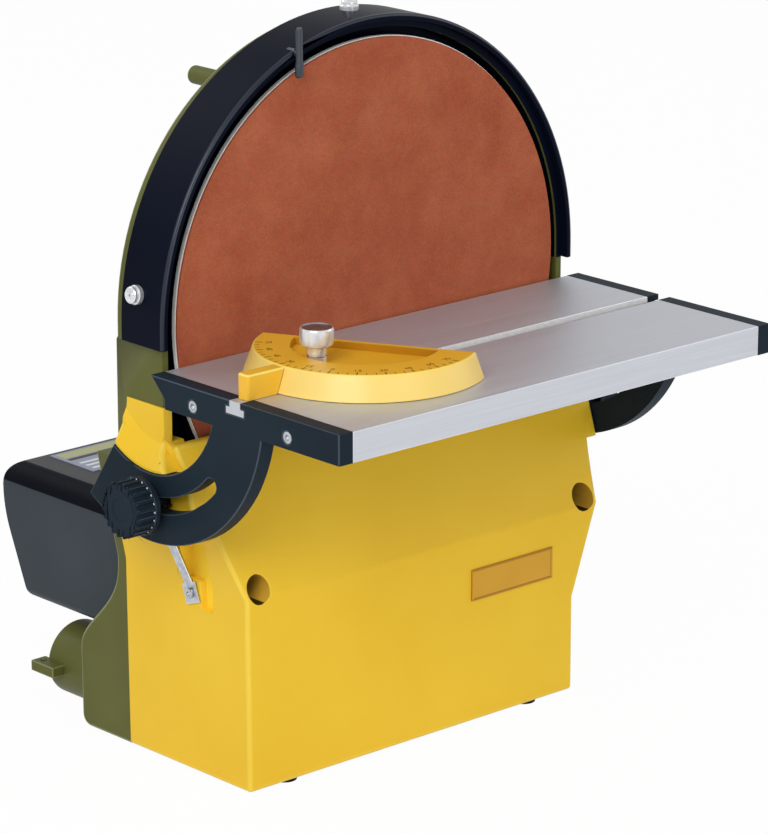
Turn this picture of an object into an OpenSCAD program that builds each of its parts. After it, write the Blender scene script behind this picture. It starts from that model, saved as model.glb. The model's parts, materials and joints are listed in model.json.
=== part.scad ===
// Benchtop disc sander: a belt-driven upright disc in a two-part housing, with a tilting table and a gauge.
// Millimetres. X runs to the operator's right, Y to the back, Z up. The origin is on the bench, at the
// middle of the space that the sander takes up. Sizes front to back are measured from the sanding face.

/* [Disc] */
// Diameter of the abrasive sheet
disc_d = 250; // [240:1:270]
// Thickness of the aluminium disc
disc_t = 7; // [6:0.5:8]
// Thickness of the abrasive sheet with its backing
sheet_t = 1; // [0.6:0.1:1.6]
// Height of the spindle above the bench
spindle_h = 230; // [226:1:250]
// Diameter of the spindle
spindle_d = 12; // [10:0.5:14]

/* [Table] */
// Depth of the table plate, from the disc to the operator
table_w = 135; // [120:1:150]
// Thickness of the table plate
table_t = 15; // [14:0.5:16]
// Height of the spindle above the table's top
table_drop = 17.8; // [16:0.2:22]
// Gap between the table's back edge and the sanding face
table_gap = 2; // [1:0.5:4]
// How far each end of the table plate stands out beyond the housing
table_overhang = 1.6; // [1:0.2:6]
// Thickness of the end caps and their quadrants
cap_t = 8.5; // [7:0.5:11]
// Width of the mitre slot at the table's top
slot_w = 8; // [7:0.5:10]
// Distance of the mitre slot's middle from the table's back edge
slot_back = 62; // [58:1:66]

/* [Tilt] */
// Outer radius of the tilt quadrants
quad_r = 84; // [80:1:88]
// Inner radius of the tilt quadrants
quad_in_r = 49.5; // [46:0.5:54]
// Radius of the curved slot that the clamp stud runs in
tilt_slot_r = 64.5; // [62:0.5:68]
// Tilt of the table with its front edge down, in degrees
tilt_down = 45; // [30:1:45]
// Tilt of the table with its front edge up, in degrees
tilt_up = 10; // [0:1:12]
// Diameter of the clamp studs
stud_d = 6; // [5:0.5:6.5]
// Diameter of the clamp knobs
knob_d = 28; // [24:1:34]
// Length of the clamp knobs
knob_l = 18; // [15:1:22]

/* [Housing] */
// Thickness of the housing walls
wall = 3.5; // [3:0.25:4]
// Half the width of the housing at the bench, on the left
base_left = 118; // [114:1:122]
// Half the width of the housing at the bench, on the set-back right side
base_right = 102; // [96:1:108]
// Distance of the front face ahead of the sanding face
front_y = 42.5; // [40:0.5:50]
// Depth of the lower joint between the two housings behind the sanding face
seam_y = 49.8; // [48:0.2:52]
// Depth of the housing's foot behind the sanding face
back_y = 89; // [86:1:95]
// Height of the feet
foot_h = 3.5; // [2.5:0.5:6]
// Radius of the screw wells in the front face
well_r = 7; // [6:0.25:7.5]

/* [Guard] */
// Width of the guard hoop, front to back
guard_w = 31; // [28:1:33]
// Thickness of the guard hoop
guard_t = 3.5; // [3:0.25:4]

/* [Drive] */
// Distance from the spindle down to the motor's axis, as a share of the spindle's height
motor_drop_share = 0.6; // [0.58:0.005:0.61]
// Pitch of the belt's teeth
belt_pitch = 3; // [2.9:0.05:3.1]
// Number of teeth on the motor pulley
motor_teeth = 15; // [14:1:17]
// Number of teeth on the spindle pulley
spindle_teeth = 100; // [90:1:104]
// Diameter of the motor
motor_d = 56; // [50:1:58]
// Length of the motor
motor_l = 72; // [60:1:74]

/* [Dust port] */
// Inner diameter of the dust port
port_d = 35; // [30:1:36]
// Wall of the dust port
port_wall = 2; // [1.5:0.25:2.5]
// Length that the dust port stands out behind the housing
port_l = 32; // [25:1:40]

/* [Mitre gauge] */
// Radius of the protractor head at the table
head_r = 58.5; // [55:0.5:60]
// Height of the protractor head
head_h = 12.5; // [11:0.5:14]
// Angle between the fence and the square setting at rest, in degrees
fence_turn = 28.6; // [0:0.2:40]
// Diameter of the lock knob
lock_d = 16.5; // [14:0.5:18]

/* [Hidden] */
$fn = 64;
round_fn = 96;
arc_steps = 8;

// Colours
yellow = "#e4be34";
olive = "#5f6138";
black = "#1e2732";
slate = "#343e47";
bright = "#c3c7cf";
grit = "#a3583e";
steel = "#9a9da3";

// Clearances and overruns
overrun = 1;
run_gap = 0.05;
seat_gap = 0.1;
slide_gap = 0.2;
move_gap = 0.4;
slot_end_share = 0.99;

// Layout front to back, from the sanding face
disc_r = disc_d / 2;
plate_over = 0.5;
plate_r = disc_r + plate_over;
plate_back = sheet_t + disc_t;
flange_t = 3;
flange_r = 18;
flange_back = plate_back + flange_t;
bearing_w = 7;
bearing_r = 14;
bearing_lip = 1;
bearing_lip_r = 11;
boss_r = 18;
plate_gap = 2;
partition_t = 3;
partition_y = flange_back + plate_gap;
front_bearing_y = partition_y + bearing_lip;
front_bearing_end = front_bearing_y + bearing_w;
pulley_gap = 1;
pulley_y = front_bearing_end + pulley_gap;
pulley_w = 9.5;
pulley_end = pulley_y + pulley_w;
dome_wall_y = pulley_end + pulley_gap;
dome_back = dome_wall_y + wall;
rear_bearing_y = dome_wall_y + bearing_lip;
rear_bearing_end = rear_bearing_y + bearing_w;
boss_back = rear_bearing_end + wall;
spindle_nose = sheet_t + disc_t / 2;

// Housing outline, measured from the spindle
rim_gap = 4.4;
rim_t = wall;
dome_r = plate_r + rim_gap + rim_t;
rim_front = 1.2;
floor_z = foot_h - spindle_h;
belt_centres = spindle_h * motor_drop_share;
motor_z = -belt_centres;
shoulder_z = -45;
shoulder_left_z = -60;
break_z = -128;
break_half = 119;
inset_up = 50.5;
inset_z = floor_z + inset_up;
sill_z = -37;
shelf_z = -75;
upper_seam_y = 28;
step_up = 42.5;
step_over = 7;
step_low_z = floor_z + step_up;
step_top_z = motor_z + step_over;
step_bend = 1.3;
back_upper_y = seam_y + 7.5;
heel_r = 6;
panel_top_y = -8;
panel_top_z = -54.5;
toe_r = 2.5;

// Table and tilt
table_half = dome_r + table_overhang;
table_top = -table_drop;
table_low = table_top - table_t;
table_back = -table_gap;
table_front = table_back - table_w;
table_land = 1;
table_bevel = table_t - table_land;
cap_bevel = 10;
table_skin = 4.5;
slot_y = table_back - slot_back;
slot_neck = 3;
slot_undercut = 2.5;
slot_head_w = slot_w + 2 * slot_undercut;
slot_head_h = 3.7;
slot_web = 3;
rib_t = 4;
port_y_back = -33;
port_y_front = -101;
cap_screw_z = table_top - 9.2;
cap_screw_r = 1.7;
cap_screw_l = 12;
cap_head_r = 3;
cap_head_t = 2;
cap_outer = table_half + cap_t;
pad_x = table_half - move_gap - seat_gap;
pad_in = 122;
pad_lip = 1;
pad_r = quad_r + pad_lip;
pad_front_deg = 108;
boss_front_y = 0;
boss_in = 129;
pad_start_r = quad_in_r + 3 * toe_r;
boss_toe_r = 10;
lip_out = 8;
lip_top_r = 48;
lip_foot_r = 37;
tail_deg = 56.5;
arm_deg = 175;
stud_gap = 1;
tilt_slot_w = stud_d + 2 * stud_gap;
stud_z = table_top - tilt_slot_r;
insert_r = 5;
insert_l = 10;

// Guard
guard_in_r = dome_r + seat_gap;
guard_r = guard_in_r + guard_t;
guard_front = -3.2;
guard_leg = 8;
guard_screw_degs = [7, 90, 173];
guard_screw_y = 16;
guard_screw_r = 2;
collar_r = 5;
collar_h = 3;
guard_head_r = 4.1;
guard_head_h = 2;

// Sheet lifter
lifter_x = -51;
lifter_r = (guard_in_r + guard_r) / 2;
lifter_w = 4;
lifter_t = 3;
lifter_up = 13;
lifter_down = 12;
lifter_gap = 0.4;
lifter_pin_r = 1;
lifter_pin_depth = 6;
lifter_hub_r = 3;
lifter_toe_share = 0.65;

// Drive
spindle_pitch_r = spindle_teeth * belt_pitch / (2 * PI);
motor_pitch_r = motor_teeth * belt_pitch / (2 * PI);
belt_gap = 0.3;
belt_t = 2;
belt_side = 1.5;
groove_r = 0.9;
pulley_flange = 2;
pulley_hub_r = 13;
pulley_web = 4;
shaft_r = 4;
motor_front = back_upper_y;
motor_back = motor_front + motor_l;
pilot_r = 11;
nest_gap = 0.8;
nest_r = motor_d / 2 + nest_gap;
fan_gap = 2;
fan_w = 6;
fan_r = 24;
fan_hub_r = 8;
fan_blades = 9;
fan_inset = 0.5;

// Motor cover
cover_half = 110;
cover_wall = 2.5;
cover_over = 33;
cover_under = 36;
cover_top = motor_z + cover_over;
cover_low = motor_z - cover_under;
cover_back_top = 162;
cover_back_low = 143;
cover_r = 9;
cover_bend = 25;
cover_bend_r = 60;
cover_edge_r = 12;
cover_low_r = 5;
cover_screw_inset = 26;
cover_screw_x = cover_half - cover_screw_inset;
cover_screw_z = motor_z;
cover_screw_r = 2;
cover_head_r = 4;
cover_head_t = 3;
cover_head_y = 138;
vent_w = 4;
vent_h = 26;
vent_pitch = 9;
vents = 9;

// Dust port
port_x = -95;
port_r = port_d / 2;
port_out_r = port_r + port_wall;
port_up = 22.7;
port_z = floor_z + port_up;
port_end = back_y + port_l;
port_root = back_y - 2 * wall;
ear_w = 9.5;
ear_l = 18;
ear_t = 5.5;
ear_hole_r = 1.8;

// Screw wells and posts
well_inset = 9;
well_x = break_half - well_inset;
well_z = -124;
well_floor = -24;
post_front = 16;
well_wall = 2;
post_r = 5;
post_screw_r = 2;
post_head_r = 4;
post_head_t = 3;

// Feet
base_t = 2;
foot_r = 7;
foot_left_x = -86;
foot_right_x = 78;
foot_front_y = -31;
foot_back_y = 74;
foot_screw_r = 1.8;
foot_head_r = 3;
foot_head_t = 1.5;

// Mitre gauge
bar_gap = slide_gap;
bar_left = -cap_outer;
bar_l = 98;
pivot_x = -61.5;
lock_reach = 31;
head_slope = 4.5;
head_rim = 18;
head_floor = 8.7;
fence_off = 4.5;
head_pin_r = 4;
pin_roof = 2.5;
lock_stud_r = 2.5;
lock_slot_half = 52;
lock_slot_gap = 0.6;
lock_neck_r = 4.4;
lock_neck_h = 5.5;
lock_head_h = 13;
arm_w = 8;
arm_gap = 0.5;
arm_tip = 4.7;

// Controls on the set-back right side
control_up = 26;
control_z = floor_z + control_up;
switch_y = 22;
switch_w = 22;
switch_h = 28;
bezel_t = 2;
bezel_rim = 2.5;
rocker_w = 13;
rocker_h = 19;
rocker_proud = 4;
rocker_deg = 10;
dial_y = -14;
dial_r = 12;
dial_l = 11;
dial_stem_r = 3;
pot_r = 8;
pot_l = 9;
dial_skirt = 2;
board_w = 70;
board_l = 60;
board_t = 1.6;
board_up = 22;
board_z = floor_z + board_up;
board_x = 20;
board_y = 25;
gland_x = 78;
gland_r = 9;
gland_bore_r = 3.6;
gland_out = 10;
gland_up = 24;
gland_z = floor_z + gland_up;

// Plates
badge_w = 56.6;
badge_h = 16.4;
badge_t = 0.8;
badge_x = 57.7;
badge_z = -153.2;
rating_w = 50;
rating_l = 36;
rating_t = 0.6;
rating_inset = 48;
rating_x = rating_inset - cover_half;
rating_y = 133;

// Tilt pointer
pointer_w = 6;
pointer_t = 1.2;
pointer_foot = 10.5;
pointer_z = -133;
pointer_up = 28.5;
pointer_clear = 1.4;
pointer_out = pointer_clear
    + (dome_r - break_half) * (pointer_z + pointer_up - break_z) / (shoulder_left_z - break_z);
pointer_lean = 20;
pointer_screw_r = 1.5;
pointer_head_r = 2.6;
pointer_head_t = 1.6;
niche_front = -17;
niche_end = -7.4;
niche_back = 3;
niche_top = -104;
niche_low = -140;
niche_step_z = -126;
niche_deep = 4.5;

// Cord pegs
peg_x = 65;
peg_z = 107.5;
peg_r = 4.6;
peg_l = 21.5;

// Shared helpers

function unit(v) = v / norm(v);
function polar(r, deg) = [r * cos(deg), r * sin(deg)];

// One corner of an outline as an arc that touches both sides
function corner_arc(a, b, c, r) =
    r == 0 ? [b] :
    let (u = unit(a - b), v = unit(c - b))
    let (half = acos(u * v) / 2)
    let (mid = b + unit(u + v) * r / sin(half))
    let (from = b + u * r / tan(half) - mid, to = b + v * r / tan(half) - mid)
    let (start = atan2(from[1], from[0]))
    let (sweep = atan2(from[0] * to[1] - from[1] * to[0], from * to))
    [for (k = [0 : arc_steps]) mid + polar(r, start + sweep * k / arc_steps)];

// A closed outline with a radius at each point
function rounded(points, radii) = [
    for (i = [0 : len(points) - 1])
        each corner_arc(points[(i + len(points) - 1) % len(points)], points[i],
            points[(i + 1) % len(points)], radii[i])
];

function smooth_share(t) = 3 * t * t - 2 * t * t * t;

// Every sub-part is drawn about the spindle's axis at the sanding face, then set in its place
origin_y = (cover_back_top + table_front) / 2;
module at_spindle() translate([0, -origin_y, spindle_h]) children();

// A flat outline drawn in X and Z, with depth along Y
module along_y(from, to) translate([0, to, 0]) rotate([90, 0, 0]) linear_extrude(to - from) children();

// A flat outline drawn in Y and Z, with depth along X
module along_x(from, to) translate([from, 0, 0]) rotate([90, 0, 90]) linear_extrude(to - from) children();

module rod_y(r, from, to) translate([0, to, 0]) rotate([90, 0, 0]) cylinder(r = r, h = to - from);
module rod_x(r, from, to) translate([from, 0, 0]) rotate([0, 90, 0]) cylinder(r = r, h = to - from);
module rod_z(r, from, to) translate([0, 0, from]) cylinder(r = r, h = to - from);
module block(low, high) translate(low) cube(high - low);

// A pie-shaped outline that cuts a ring down to a stretch of angles
module wedge(r, from, to) {
    steps = ceil((to - from) / 30);
    polygon(concat([[0, 0]], [for (k = [0 : steps]) polar(2 * r, from + (to - from) * k / steps)]));
}

// A curved slot with round ends
module arc_slot(r, w, from, to) {
    intersection() {
        difference() {
            circle(r = r + w / 2, $fn = round_fn);
            circle(r = r - w / 2, $fn = round_fn);
        }
        wedge(r + w, from, to);
    }
    for (deg = [from, to])
        translate(polar(r, deg)) circle(r = w / 2 * slot_end_share);
}

// Housing outline seen from the front: a dome on sides that draw in towards the bench
module front_outline(inset) {
    circle(r = dome_r - inset, $fn = round_fn);
    polygon([
        [-dome_r + inset, 0],
        [-dome_r + inset, shoulder_left_z],
        [-break_half + inset, break_z],
        [-base_left + inset, floor_z - overrun],
        [base_right - inset, floor_z - overrun],
        [base_right - inset, inset_z],
        [break_half - inset, break_z],
        [dome_r - inset, shoulder_z],
        [dome_r - inset, 0]
    ]);
}

// Back of the rear housing, from its shelf down to its foot
function back_curve(inset) = [
    for (k = [0 : 2 * arc_steps])
        let (t = k / (2 * arc_steps))
        [back_upper_y + (back_y - back_upper_y) * smooth_share(pow(t, step_bend)) - inset,
            step_top_z + (step_low_z - step_top_z) * t - inset / 2]
];

// Rear housing seen from the side
module rear_profile(inset, front) {
    polygon(concat(
        [[rim_front - front, dome_r + overrun], [rim_front - front, sill_z],
            [upper_seam_y - front, sill_z], [upper_seam_y - front, shelf_z - inset],
            [seam_y - front, shelf_z - inset], [seam_y - front, floor_z - front]],
        rounded([[back_y - inset - 2 * heel_r, floor_z - front], [back_y - inset, floor_z - front],
            [back_y - inset, floor_z + 2 * heel_r]], [0, inset > 0 ? 0 : heel_r, 0]),
        [for (k = [2 * arc_steps : -1 : 0]) back_curve(inset)[k]],
        [[back_upper_y - inset, shelf_z - inset + wall], [dome_back - inset, shelf_z - inset + wall],
            [dome_back - inset, dome_r + overrun]]
    ));
}

// Front housing seen from the side
module front_profile(inset, back) {
    slope = unit([panel_top_y + front_y, panel_top_z - break_z]);
    lean = inset * (1 - slope[0]) / slope[1];
    polygon([
        [-front_y + inset, floor_z - back],
        [-front_y + inset, break_z - lean],
        [panel_top_y + inset / slope[1] + slope[0] / slope[1] * back, panel_top_z + back],
        [upper_seam_y + back, panel_top_z + back],
        [upper_seam_y + back, shelf_z],
        [seam_y + back, shelf_z],
        [seam_y + back, floor_z - back]
    ]);
}

// The raised pad on each side that the tilt quadrant slides against
module pad_outline() {
    intersection() {
        translate([0, table_top]) circle(r = pad_r, $fn = round_fn);
        polygon(concat(
            [[upper_seam_y, sill_z], [boss_front_y, sill_z]],
            corner_arc([boss_front_y, sill_z], [boss_front_y, panel_top_z - toe_r],
                [0, table_top] + polar(pad_start_r, -pad_front_deg), boss_toe_r),
            [[0, table_top] + polar(pad_start_r, -pad_front_deg),
                [0, table_top] + polar(2 * pad_r, -pad_front_deg),
                [upper_seam_y, -2 * pad_r]]
        ));
    }
}

// A sloped lip on the pad that the quadrant's inner edge runs round
module guide_lip() difference() {
    along_x(-pad_x - lip_out, -pad_x + overrun) intersection() {
        translate([0, table_top]) circle(r = quad_in_r - move_gap, $fn = round_fn);
        pad_outline();
    }
    translate([-pad_x - lip_out, 0, table_top]) rotate([0, 90, 0])
        cylinder(r1 = lip_top_r, r2 = lip_foot_r, h = lip_out, $fn = round_fn);
}

module left_and_right() {
    children();
    mirror([1, 0, 0]) children();
}

// Sub-parts

module abrasive_sheet() color(grit) at_spindle() rod_y(disc_r, 0, sheet_t, $fn = round_fn);

disc_screw_ring = 13;
disc_screw_r = 2;
disc_screw_head_r = 4;
module at_disc_screws() for (k = [0 : 2])
    rotate([0, 120 * k + 90, 0]) translate([disc_screw_ring, 0, 0]) children();
module disc_screw_shape(gap) {
    rod_y(disc_screw_r + gap, sheet_t - gap, flange_back + gap);
    translate([0, sheet_t, 0]) rotate([-90, 0, 0])
        cylinder(r1 = disc_screw_head_r + gap, r2 = disc_screw_r + gap,
            h = disc_screw_head_r - disc_screw_r);
}

module sanding_disc() color(bright) at_spindle() difference() {
    rod_y(plate_r, sheet_t, plate_back, $fn = round_fn);
    rod_y(spindle_d / 2 + run_gap, sheet_t - overrun, plate_back + overrun);
    at_disc_screws() disc_screw_shape(run_gap);
}

module disc_screws() color(steel) at_spindle() at_disc_screws() disc_screw_shape(0);

module spindle() color(steel) at_spindle() difference() {
    union() {
        rod_y(spindle_d / 2, spindle_nose, rear_bearing_end);
        rod_y(flange_r, plate_back, flange_back);
    }
    at_disc_screws() disc_screw_shape(run_gap);
}

// A toothed pulley with a flange on each side of the belt
module pulley(pitch_r, teeth, bore_r, from, to) {
    difference() {
        union() {
            rod_y(pitch_r, from, to);
            for (y = [from, to - belt_side])
                rod_y(pitch_r + pulley_flange + belt_t, y, y + belt_side);
        }
        for (k = [0 : teeth - 1])
            rotate([0, 360 * k / teeth, 0])
                translate([pitch_r, 0, 0])
                    rod_y(groove_r, from + belt_side + belt_gap, to - belt_side - belt_gap, $fn = 16);
        rod_y(bore_r, from - overrun, to + overrun);
    }
}

module driven_pulley() color(bright) at_spindle() difference() {
    pulley(spindle_pitch_r, spindle_teeth, spindle_d / 2 + run_gap, pulley_y, pulley_end);
    for (side = [[pulley_y - overrun, pulley_y + (pulley_w - pulley_web) / 2],
                 [pulley_end - (pulley_w - pulley_web) / 2, pulley_end + overrun]])
        difference() {
            rod_y(spindle_pitch_r - 2 * pulley_web, side[0], side[1]);
            rod_y(pulley_hub_r, side[0] - overrun, side[1] + overrun);
        }
}

// A ball bearing drawn as its two rings and the balls' cage
module bearing(from) difference() {
    rod_y(bearing_r, from, from + bearing_w);
    rod_y(spindle_d / 2 + run_gap, from - overrun, from + bearing_w + overrun);
    for (y = [from - overrun, from + bearing_w - bearing_lip])
        difference() {
            rod_y(bearing_r - wall / 2, y, y + bearing_lip + overrun);
            rod_y(spindle_d / 2 + wall / 2, y - overrun, y + bearing_lip + 2 * overrun);
        }
}

module front_bearing() color(steel) at_spindle() bearing(front_bearing_y);
module rear_bearing() color(steel) at_spindle() bearing(rear_bearing_y);

// Four posts on the rear housing carry the partition behind the disc
post_places = [[-76, 72], [76, 72], [-88, -40], [88, -40]];

module bearing_plate() color(steel) at_spindle() difference() {
    union() {
        rod_y(dome_r - wall - move_gap, partition_y, partition_y + partition_t, $fn = round_fn);
        rod_y(boss_r, partition_y, front_bearing_end);
    }
    rod_y(bearing_lip_r, partition_y - overrun, front_bearing_end + overrun);
    rod_y(bearing_r + run_gap, front_bearing_y, front_bearing_end + overrun);
    for (p = post_places)
        translate([p[0], 0, p[1]]) rod_y(post_screw_r + run_gap, partition_y - overrun,
            partition_y + partition_t + overrun);
}

plate_screw_l = 12;
plate_head_t = 1.8;
module plate_screws() color(steel) at_spindle() for (p = post_places)
    translate([p[0], 0, p[1]]) {
        rod_y(post_screw_r, partition_y - overrun / 2, partition_y + plate_screw_l);
        rod_y(post_head_r, partition_y - plate_head_t, partition_y);
    }

module well_places() for (x = [-well_x, well_x]) translate([x, 0, well_z]) children();

module rear_housing() color(olive) at_spindle() difference() {
    union() {
        difference() {
            intersection() {
                along_y(0, 2 * back_y) front_outline(0);
                along_x(-2 * dome_r, 2 * dome_r) rear_profile(0, 0);
            }
            intersection() {
                along_y(-overrun, 2 * back_y) front_outline(wall);
                along_x(-2 * dome_r, 2 * dome_r) rear_profile(wall, overrun);
            }
        }
        rod_y(boss_r, dome_wall_y, boss_back);
        intersection() {
            along_x(-2 * dome_r, 2 * dome_r) rear_profile(0, 0);
            translate([0, 0, motor_z]) rod_y(nest_r + wall, back_upper_y - wall, back_y);
        }
        for (p = post_places)
            translate([p[0], 0, p[1]]) rod_y(post_r, partition_y + partition_t, dome_wall_y + overrun);
        well_places() rod_y(post_r, post_front, back_upper_y - wall + overrun);
    }
    rod_y(bearing_lip_r, dome_wall_y - overrun, rear_bearing_end);
    rod_y(bearing_r + run_gap, rear_bearing_y, rear_bearing_end);
    rod_y(bearing_r + run_gap, dome_wall_y - overrun, rear_bearing_end);
    for (p = post_places)
        translate([p[0], 0, p[1]])
            rod_y(post_screw_r + run_gap, partition_y, partition_y + plate_screw_l + overrun);
    well_places() rod_y(post_screw_r + run_gap, post_front - overrun, post_front + 3 * plate_screw_l);
    translate([port_x, 0, port_z]) rod_y(port_out_r + run_gap, back_y - 2 * wall, back_y + overrun);
    translate([gland_x, 0, gland_z])
        rod_y(gland_r - wall / 2 + run_gap, back_y - 2 * wall, back_y + overrun);
    translate([0, 0, motor_z]) {
        rod_y(nest_r, back_upper_y, 2 * back_y);
        rod_y(pilot_r + run_gap, back_upper_y - 2 * wall, back_upper_y + overrun);
        at_motor_screws() rod_y(motor_screw_r + run_gap, back_upper_y - 2 * wall, back_upper_y + overrun);
    }
    for (x = [-cover_screw_x, cover_screw_x]) translate([x, 0, cover_screw_z])
        rod_y(cover_screw_r + run_gap, back_upper_y - 2 * wall, back_upper_y + 2 * wall);
    guard_screw_places() rod_x(guard_screw_r + run_gap, dome_r - 2 * rim_t, dome_r + overrun);
    for (x = [-peg_x, peg_x]) translate([x, 0, peg_z]) rod_y(peg_r / 2 + run_gap, dome_wall_y - overrun,
        dome_back + overrun);
}

module front_housing() color(yellow) at_spindle() difference() {
    union() {
        difference() {
            intersection() {
                along_y(-2 * front_y, seam_y) front_outline(0);
                along_x(-2 * dome_r, 2 * dome_r) front_profile(0, 0);
            }
            intersection() {
                along_y(-2 * front_y, 2 * seam_y) front_outline(wall);
                along_x(-2 * dome_r, 2 * dome_r) front_profile(wall, overrun);
            }
        }
        left_and_right() difference() {
            along_x(-pad_x, -pad_in) pad_outline();
            block([-boss_in, -front_y, panel_top_z], [0, seam_y, 0]);
        }
        left_and_right() guide_lip();
        intersection() {
            along_y(-2 * front_y, seam_y) front_outline(0);
            block([-2 * dome_r, niche_front - well_wall, niche_low - well_wall],
                [-break_half + niche_deep + well_wall, niche_back + well_wall, niche_top + well_wall]);
        }
        intersection() {
            along_x(-2 * dome_r, 2 * dome_r) front_profile(0, 0);
            along_y(-2 * front_y, seam_y) front_outline(0);
            well_places() rod_y(well_r + well_wall, -front_y, well_floor + well_wall);
        }
    }
    well_places() {
        rod_y(well_r, -front_y - overrun, well_floor);
        rod_y(post_screw_r + run_gap, well_floor - overrun, well_floor + 2 * well_wall);
    }
    left_and_right() translate([-pad_x, 0, stud_z]) rod_x(insert_r, -overrun, insert_l);
    block([-2 * dome_r, pointer_y - pointer_foot, niche_low],
        [-break_half, pointer_y + pointer_foot, pointer_z + pointer_foot]);
    block([-2 * dome_r, niche_front, niche_low],
        [-break_half + niche_deep, niche_end, niche_step_z + overrun]);
    block([-2 * dome_r, niche_front, niche_step_z], [-break_half + niche_deep, niche_back, niche_top]);
    translate([0, pointer_y, pointer_z])
        rod_x(pointer_screw_r + run_gap, -break_half - overrun, -break_half + 2 * wall);
    translate([0, switch_y, control_z])
        block([base_right - 2 * wall, -(switch_w / 2 - bezel_rim), -(switch_h / 2 - bezel_rim)],
            [base_right + overrun, switch_w / 2 - bezel_rim, switch_h / 2 - bezel_rim]);
    translate([0, dial_y, control_z])
        rod_x(dial_stem_r + seat_gap, base_right - 2 * wall, base_right + overrun);
}

module base_plate() color(steel) at_spindle() difference() {
    block([-base_left + wall + move_gap, -front_y + wall + move_gap, floor_z],
        [base_right - wall - move_gap, back_y - wall - heel_r, floor_z + base_t]);
    at_feet() rod_z(foot_screw_r + run_gap, floor_z - overrun, floor_z + base_t + overrun);
}

module at_feet() for (x = [foot_left_x, foot_right_x], y = [foot_front_y, foot_back_y])
    translate([x, y, 0]) children();

module feet() color(black) at_spindle() at_feet() difference() {
    translate([0, 0, -spindle_h]) cylinder(r1 = foot_r - foot_h / 4, r2 = foot_r, h = foot_h);
    rod_z(foot_screw_r + run_gap, -spindle_h - overrun, floor_z + overrun);
    rod_z(foot_head_r + run_gap, -spindle_h - overrun, -spindle_h + foot_head_t + seat_gap);
}

module foot_screws() color(steel) at_spindle() at_feet() {
    rod_z(foot_screw_r, floor_z - foot_h + foot_head_t, floor_z + base_t + 2 * foot_head_t);
    rod_z(foot_head_r, floor_z - foot_h + seat_gap, floor_z - foot_h + seat_gap + foot_head_t);
}

module guard_screw_places() for (deg = guard_screw_degs) translate([0, guard_screw_y, 0])
    rotate([0, -deg, 0]) children();

lifter_z = sqrt(lifter_r * lifter_r - lifter_x * lifter_x);

module disc_guard() color(black) at_spindle() difference() {
    union() {
        intersection() {
            difference() {
                rod_y(guard_r, guard_front, guard_front + guard_w, $fn = round_fn);
                rod_y(guard_in_r, guard_front - overrun, guard_front + guard_w + overrun, $fn = round_fn);
            }
            block([-2 * guard_r, guard_front - overrun, 0], [2 * guard_r, 2 * guard_w, 2 * guard_r]);
        }
        left_and_right()
            block([-guard_r, guard_front, -guard_leg], [-guard_in_r, guard_front + guard_w, 0]);
    }
    guard_screw_places() rod_x(guard_screw_r + run_gap, dome_r - overrun, guard_r + overrun);
    translate([lifter_x, 0, lifter_z])
        rod_y(lifter_pin_r + run_gap, guard_front - overrun, guard_front + lifter_pin_depth + seat_gap);
}

module guard_screws() color(bright) at_spindle() guard_screw_places() {
    rod_x(guard_screw_r, dome_r - rim_t, guard_r + collar_h);
    rod_x(collar_r, guard_r, guard_r + collar_h);
    rod_x(guard_head_r, guard_r + collar_h, guard_r + collar_h + guard_head_h);
}

module at_lifter() at_spindle() translate([lifter_x, guard_front, lifter_z]) children();

module sheet_lifter() color(black) at_lifter() translate([0, -lifter_gap, 0]) difference() {
    union() {
        rod_y(lifter_hub_r, -lifter_t, 0);
        block([-lifter_w / 2, -lifter_t, -lifter_down], [lifter_w / 2, 0, lifter_up]);
        block([-lifter_w * lifter_toe_share, -lifter_t, -lifter_down],
            [lifter_w * lifter_toe_share, 0, -lifter_down + lifter_w]);
    }
    rod_y(lifter_pin_r + run_gap, -2 * lifter_t, overrun);
}

module lifter_pin() color(steel) at_lifter() {
    rod_y(lifter_pin_r, -2 * lifter_gap - lifter_t, lifter_pin_depth);
    rod_y(2 * lifter_pin_r, -2 * lifter_gap - lifter_t - lifter_pin_r, -2 * lifter_gap - lifter_t);
}

module cord_pegs() color(olive) at_spindle() for (x = [-peg_x, peg_x]) translate([x, 0, peg_z]) {
    rod_y(peg_r, dome_back, dome_back + peg_l);
    rod_y(peg_r / 2, dome_wall_y + seat_gap, dome_back);
}

// Motor cover

module cover_outline(inset) {
    low = [-cover_half + inset, cover_low + inset];
    high = [cover_half - inset, cover_top - inset];
    polygon(rounded([low, [high[0], low[1]], high, [low[0], high[1]]],
        [cover_low_r, cover_low_r, cover_edge_r, cover_edge_r]));
}

module cover_profile(inset) {
    polygon(concat(
        [[back_upper_y - (inset > 0 ? overrun : 0), cover_top - inset]],
        rounded([[back_upper_y + cover_r, cover_top - inset], [cover_back_top - inset, cover_top - inset],
            [cover_back_top - inset, cover_top - cover_bend], [cover_back_low - inset, cover_low + inset],
            [back_y + overrun, cover_low + inset]], [0, cover_r, cover_bend_r, cover_low_r, 0]),
        [for (k = [2 * arc_steps : -1 : 0])
            let (p = back_curve(0)[k])
            if (p[1] > cover_low + inset) p - [inset > 0 ? overrun : 0, 0]]
    ));
}

module cover_solid(inset) intersection() {
    along_y(-overrun, 2 * cover_back_top) cover_outline(inset);
    along_x(-cover_half, cover_half) cover_profile(inset);
}

module cover_screw_places() for (x = [-cover_screw_x, cover_screw_x])
    translate([x, 0, cover_screw_z]) children();

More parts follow.
